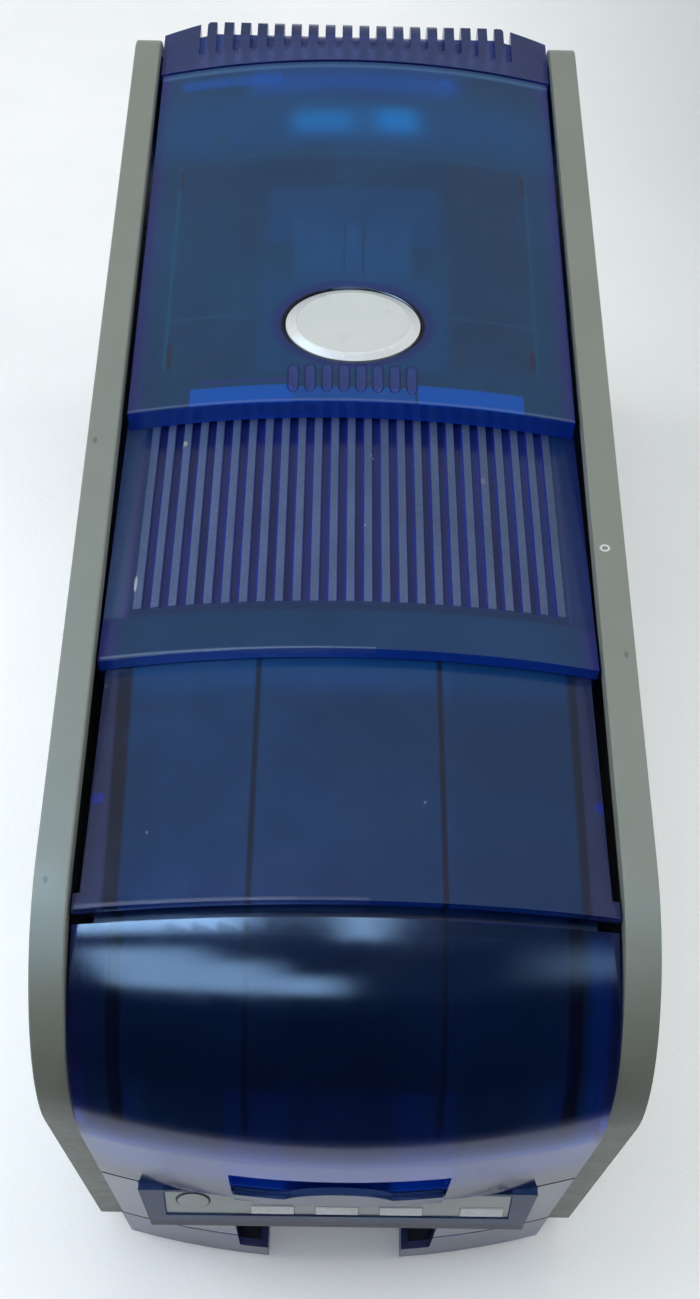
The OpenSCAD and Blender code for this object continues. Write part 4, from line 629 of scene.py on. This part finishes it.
# Nodes with a material of their own
by_node = {
    "rear_cover": rear_cover_blue(),
    "hopper_door": hopper_door_blue(),
    "ribbed_bridge": bridge_blue(),
    "front_cover": front_cover_blue(),
    "vent_comb": vent_blue(),
    "latch_button": button_paint(),
    "display_frame": frame_blue(),
    "front_bezel": clear_blue(
        "bezel_blue", (0.26, 0.28, 0.40), 0.5, (0.08, 0.14), BEZEL_SEAM, violet=0.3, front_glow=0.0
    ),
    "base": clear_blue(
        "base_blue", (0.13, 0.15, 0.32), 0.62, (0.08, 0.14), BASE_SEAM, violet=0.5, front_glow=0.0
    ),
    "exception_slot": slot_blue(),
}

# Nodes whose rounded edges have another material; the covers' edges carry the painted glow
on_edges = dict.fromkeys(("rear_cover", "hopper_door", "ribbed_bridge", "front_cover"), edge_glow_material())
on_edges["user_button"] = plastic("ring_dark", (0.05, 0.055, 0.06), 0.35)
on_edges["front_bezel"] = plastic("seam_dark", (0.006, 0.007, 0.02), 0.4)

# ---- CAD nodes: materials and softened edges ----

# Width of the rounding on each node's edges, in metres
BEVELS = {
    "side_panel_left": 0.0016, "side_panel_right": 0.0016, "front_cover": 0.0005, "front_bezel": 0.001,
    "base": 0.0006, "hopper_door": 0.0005, "ribbed_bridge": 0.0002, "rear_cover": 0.0005,
    "vent_comb": 0.0006, "display_frame": 0.0006, "display_lens": 0.0003, "user_button": 0.0006,
    "exception_slot": 0.0004, "latch_button": 0.0005, "rear_panel": 0.0004, "status_lights": 0.0002,
}
BEVEL_STEPS = 3
WELD_WITHIN = 2e-6
FLAT_WITHIN = math.radians(0.4)
EDGE_FROM = math.radians(35)


def dress(obj, material, bevel):
    """Give a node its material, and round its edges where they are seen."""
    obj.data.materials.clear()
    obj.data.materials.append(material)
    weld = obj.modifiers.new("weld", "WELD")
    weld.merge_threshold = WELD_WITHIN
    if bevel:
        plane = obj.modifiers.new("planes", "DECIMATE")
        plane.decimate_type = "DISSOLVE"
        plane.angle_limit = FLAT_WITHIN
        soft = obj.modifiers.new("bevel", "BEVEL")
        soft.width = bevel
        soft.segments = BEVEL_STEPS
        soft.limit_method = "ANGLE"
        soft.angle_limit = EDGE_FROM
        soft.use_clamp_overlap = True
        shade = obj.modifiers.new("normals", "WEIGHTED_NORMAL")
        shade.mode = "FACE_AREA"
        shade.weight = 50
        if obj.name in on_edges:
            obj.data.materials.append(on_edges[obj.name])
            soft.material = 1
    for p in obj.data.polygons:
        p.use_smooth = True


for name, obj in nodes.items():
    dress(obj, by_node.get(name, by_slot[slots[name]]), BEVELS.get(name, 0))

# ---- Stage: floor, cards, world and lamps ----

GLOSSY_ONLY = ("camera", "diffuse", "transmission", "shadow")
CARD_BLACK, ROOM_BLACK = (0.004, 0.004, 0.004), (0.004, 0.004, 0.005)


def place_mesh(mesh, material, unseen_by=()):
    """An object with one material, left out of the named kinds of rays."""
    obj = bpy.data.objects.new(mesh.name, mesh)
    scene.collection.objects.link(obj)
    mesh.materials.append(material)
    for rays in unseen_by:
        setattr(obj, "visible_" + rays, False)
    return obj


def card(name, corners, material, unseen_by):
    """A flat stage piece with four corners."""
    mesh = bpy.data.meshes.new(name)
    mesh.from_pydata(corners, [], [(0, 1, 2, 3)])
    return place_mesh(mesh, material, unseen_by)


def upright(half, place, low, high):
    """Corners of a card that stands across the front."""
    return [(-half, place, low), (half, place, low), (half, place, high), (-half, place, high)]


def floor():
    """Plain pale floor, with painted shade at the rear right and painted light in front and at the left."""
    mesh = bpy.data.meshes.new("floor")
    bm = bmesh.new()
    bmesh.ops.create_grid(bm, x_segments=8, y_segments=8, size=5)
    bm.to_mesh(mesh)
    bm.free()
    t = Tree("floor_sheet")
    x, y, _ = t.xyz()
    sheet = t.mix(t.cloud(9, 5), (0.90, 0.91, 0.905), (0.95, 0.955, 0.95))
    # painted shade at the rear right
    painted_shade_rear_right = t.times(t.remap(x, 0.0, 0.3), t.remap(y, 0.0, 0.45))
    t.set(Base_Color=t.mix(painted_shade_rear_right, sheet, (0.55, 0.58, 0.575)), Roughness=0.6)
    t.set(Normal=t.bump(t.noise(420, 4, 0.6), 3e-4, 0.5))
    # painted light: paler in front and at the left, to the camera alone
    seen = t.node("ShaderNodeLightPath").outputs["Is Camera Ray"]
    painted_light_left = t.times(t.remap(x, -0.25, 0.1, 1.0, 0.0), t.band(y, -0.22, 0.16, 0.12))
    painted_floor_light = t.math("ADD", t.remap(y, -0.3, 0.15, 0.12, 0.03), t.times(painted_light_left, 0.18))
    t.set(Emission_Color=(0.97, 1.0, 0.985), Emission_Strength=t.times(seen, painted_floor_light))
    obj = place_mesh(mesh, t.mat)


def dark_card():
    """A black card well in front, which keeps the front from being lit flat."""
    t = Tree("card_black")
    t.set(Base_Color=CARD_BLACK, Roughness=1.0, Specular_IOR_Level=0.0)
    obj = card("dark_card", upright(1.6, -1.3, 0.04, 1.75), t.mat, ("camera", "glossy"))


def dark_room():
    """The dark room in front of the table, which only glossy rays see; it fades out above and at its sides."""
    t = Tree("room_black")
    x, _, z = t.xyz()
    t.set(Base_Color=ROOM_BLACK, Roughness=1.0, Specular_IOR_Level=0.0)
    t.surface(t.times(t.band(z, -0.01, 0.46, 0.06), t.band(x, -0.8, 0.8, 0.15)), t.clear(), t.bsdf.outputs[0])
    obj = card("dark_room", upright(1.0, -0.39, 0.0, 0.65), t.mat, GLOSSY_ONLY)


# Soft boxes over the front, in metres: (x0, x1), (y0, y1), soft edge, share of BOX_GLOW.
# They hang where the photo's front cover mirrors the lights of its room.
SOFT_BOXES = [
    ((-1.4, -0.42), (-0.28, 0.4), 0.12, 2.0),
    ((-0.42, 0.3), (-0.28, 0.4), 0.2, 0.2),
    ((-1.3, -0.62), (-1.5, -0.6), 0.14, 1.0),
    ((-0.62, -0.3), (-1.5, -0.84), 0.14, 1.0),
    ((-0.3, 0.0), (-1.5, -1.1), 0.12, 1.0),
    ((0.0, 0.2), (-0.44, -0.02), 0.1, 1.0),
    ((1.0, 1.7), (-1.1, -0.5), 0.3, 0.3),
]
BOX_GLOW, CEILING_GLOW = 10.0, 0.12
BOX_COLOUR = (0.36, 0.62, 1.0)
CEILING_Z, CEILING_HALF, CEILING_FRONT, CEILING_REAR = 1.9, 2.4, -2.6, 1.0


def soft_boxes():
    """Plain soft boxes on a dark ceiling over the front, which only glossy rays see; it fades out rearward."""
    t = Tree("soft_box_glow")
    x, y, _ = t.xyz()
    glow = 0.0
    for (x0, x1), (y0, y1), soft, share in SOFT_BOXES:
        box = t.times(t.band(x, x0, x1, soft), t.band(y, y0, y1, soft))
        glow = t.math("MULTIPLY_ADD", box, share, glow)
    light = t.node("ShaderNodeEmission")
    light.inputs["Color"].default_value = rgba(BOX_COLOUR)
    t.link(t.math("MULTIPLY_ADD", glow, BOX_GLOW, CEILING_GLOW), light.inputs["Strength"])
    solid = t.math("MAXIMUM", t.remap(glow, 0.0, 0.3), t.remap(y, 0.0, 0.5, 1.0, 0.0))
    t.surface(solid, t.clear(), light.outputs[0])
    corners = [(-CEILING_HALF, CEILING_FRONT, CEILING_Z), (CEILING_HALF, CEILING_FRONT, CEILING_Z),
               (CEILING_HALF, CEILING_REAR, CEILING_Z), (-CEILING_HALF, CEILING_REAR, CEILING_Z)]
    obj = card("soft_boxes", corners, t.mat, GLOSSY_ONLY)


floor()
dark_card()
dark_room()
soft_boxes()

WORLD_COLOUR, WORLD_STRENGTH = (0.92, 0.97, 1.0), 0.46
world = bpy.data.worlds.new("world")
scene.world = world
world.use_nodes = True
sky = world.node_tree.nodes["Background"]
sky.inputs["Color"].default_value = rgba(WORLD_COLOUR)
sky.inputs["Strength"].default_value = WORLD_STRENGTH

# Soft lamps: place, aim, size, power, seen in reflections
LAMPS = {
    "lamp_top": ((0.1, 0.15, 2.6), (0, 0.1, 0.1), (1.8, 1.8), 18, False),
    "lamp_left": ((-1.8, 0.2, 1.0), (0, 0, 0.1), (1.0, 1.6), 20, True),
    "lamp_right": ((1.8, 0.2, 1.0), (0, 0, 0.1), (1.0, 1.6), 12, True),
}


def lamp(name, place, aim, size, power, in_reflections):
    data = bpy.data.lights.new(name, "AREA")
    data.shape = "RECTANGLE"
    data.size, data.size_y = size
    data.energy = power
    obj = bpy.data.objects.new(name, data)
    scene.collection.objects.link(obj)
    obj.location = place
    obj.rotation_mode = "QUATERNION"
    obj.rotation_quaternion = (Vector(aim) - Vector(place)).to_track_quat("-Z", "Y")
    obj.visible_glossy = in_reflections


for name, facts in LAMPS.items():
    lamp(name, *facts)

scene.view_settings.view_transform = "Standard"
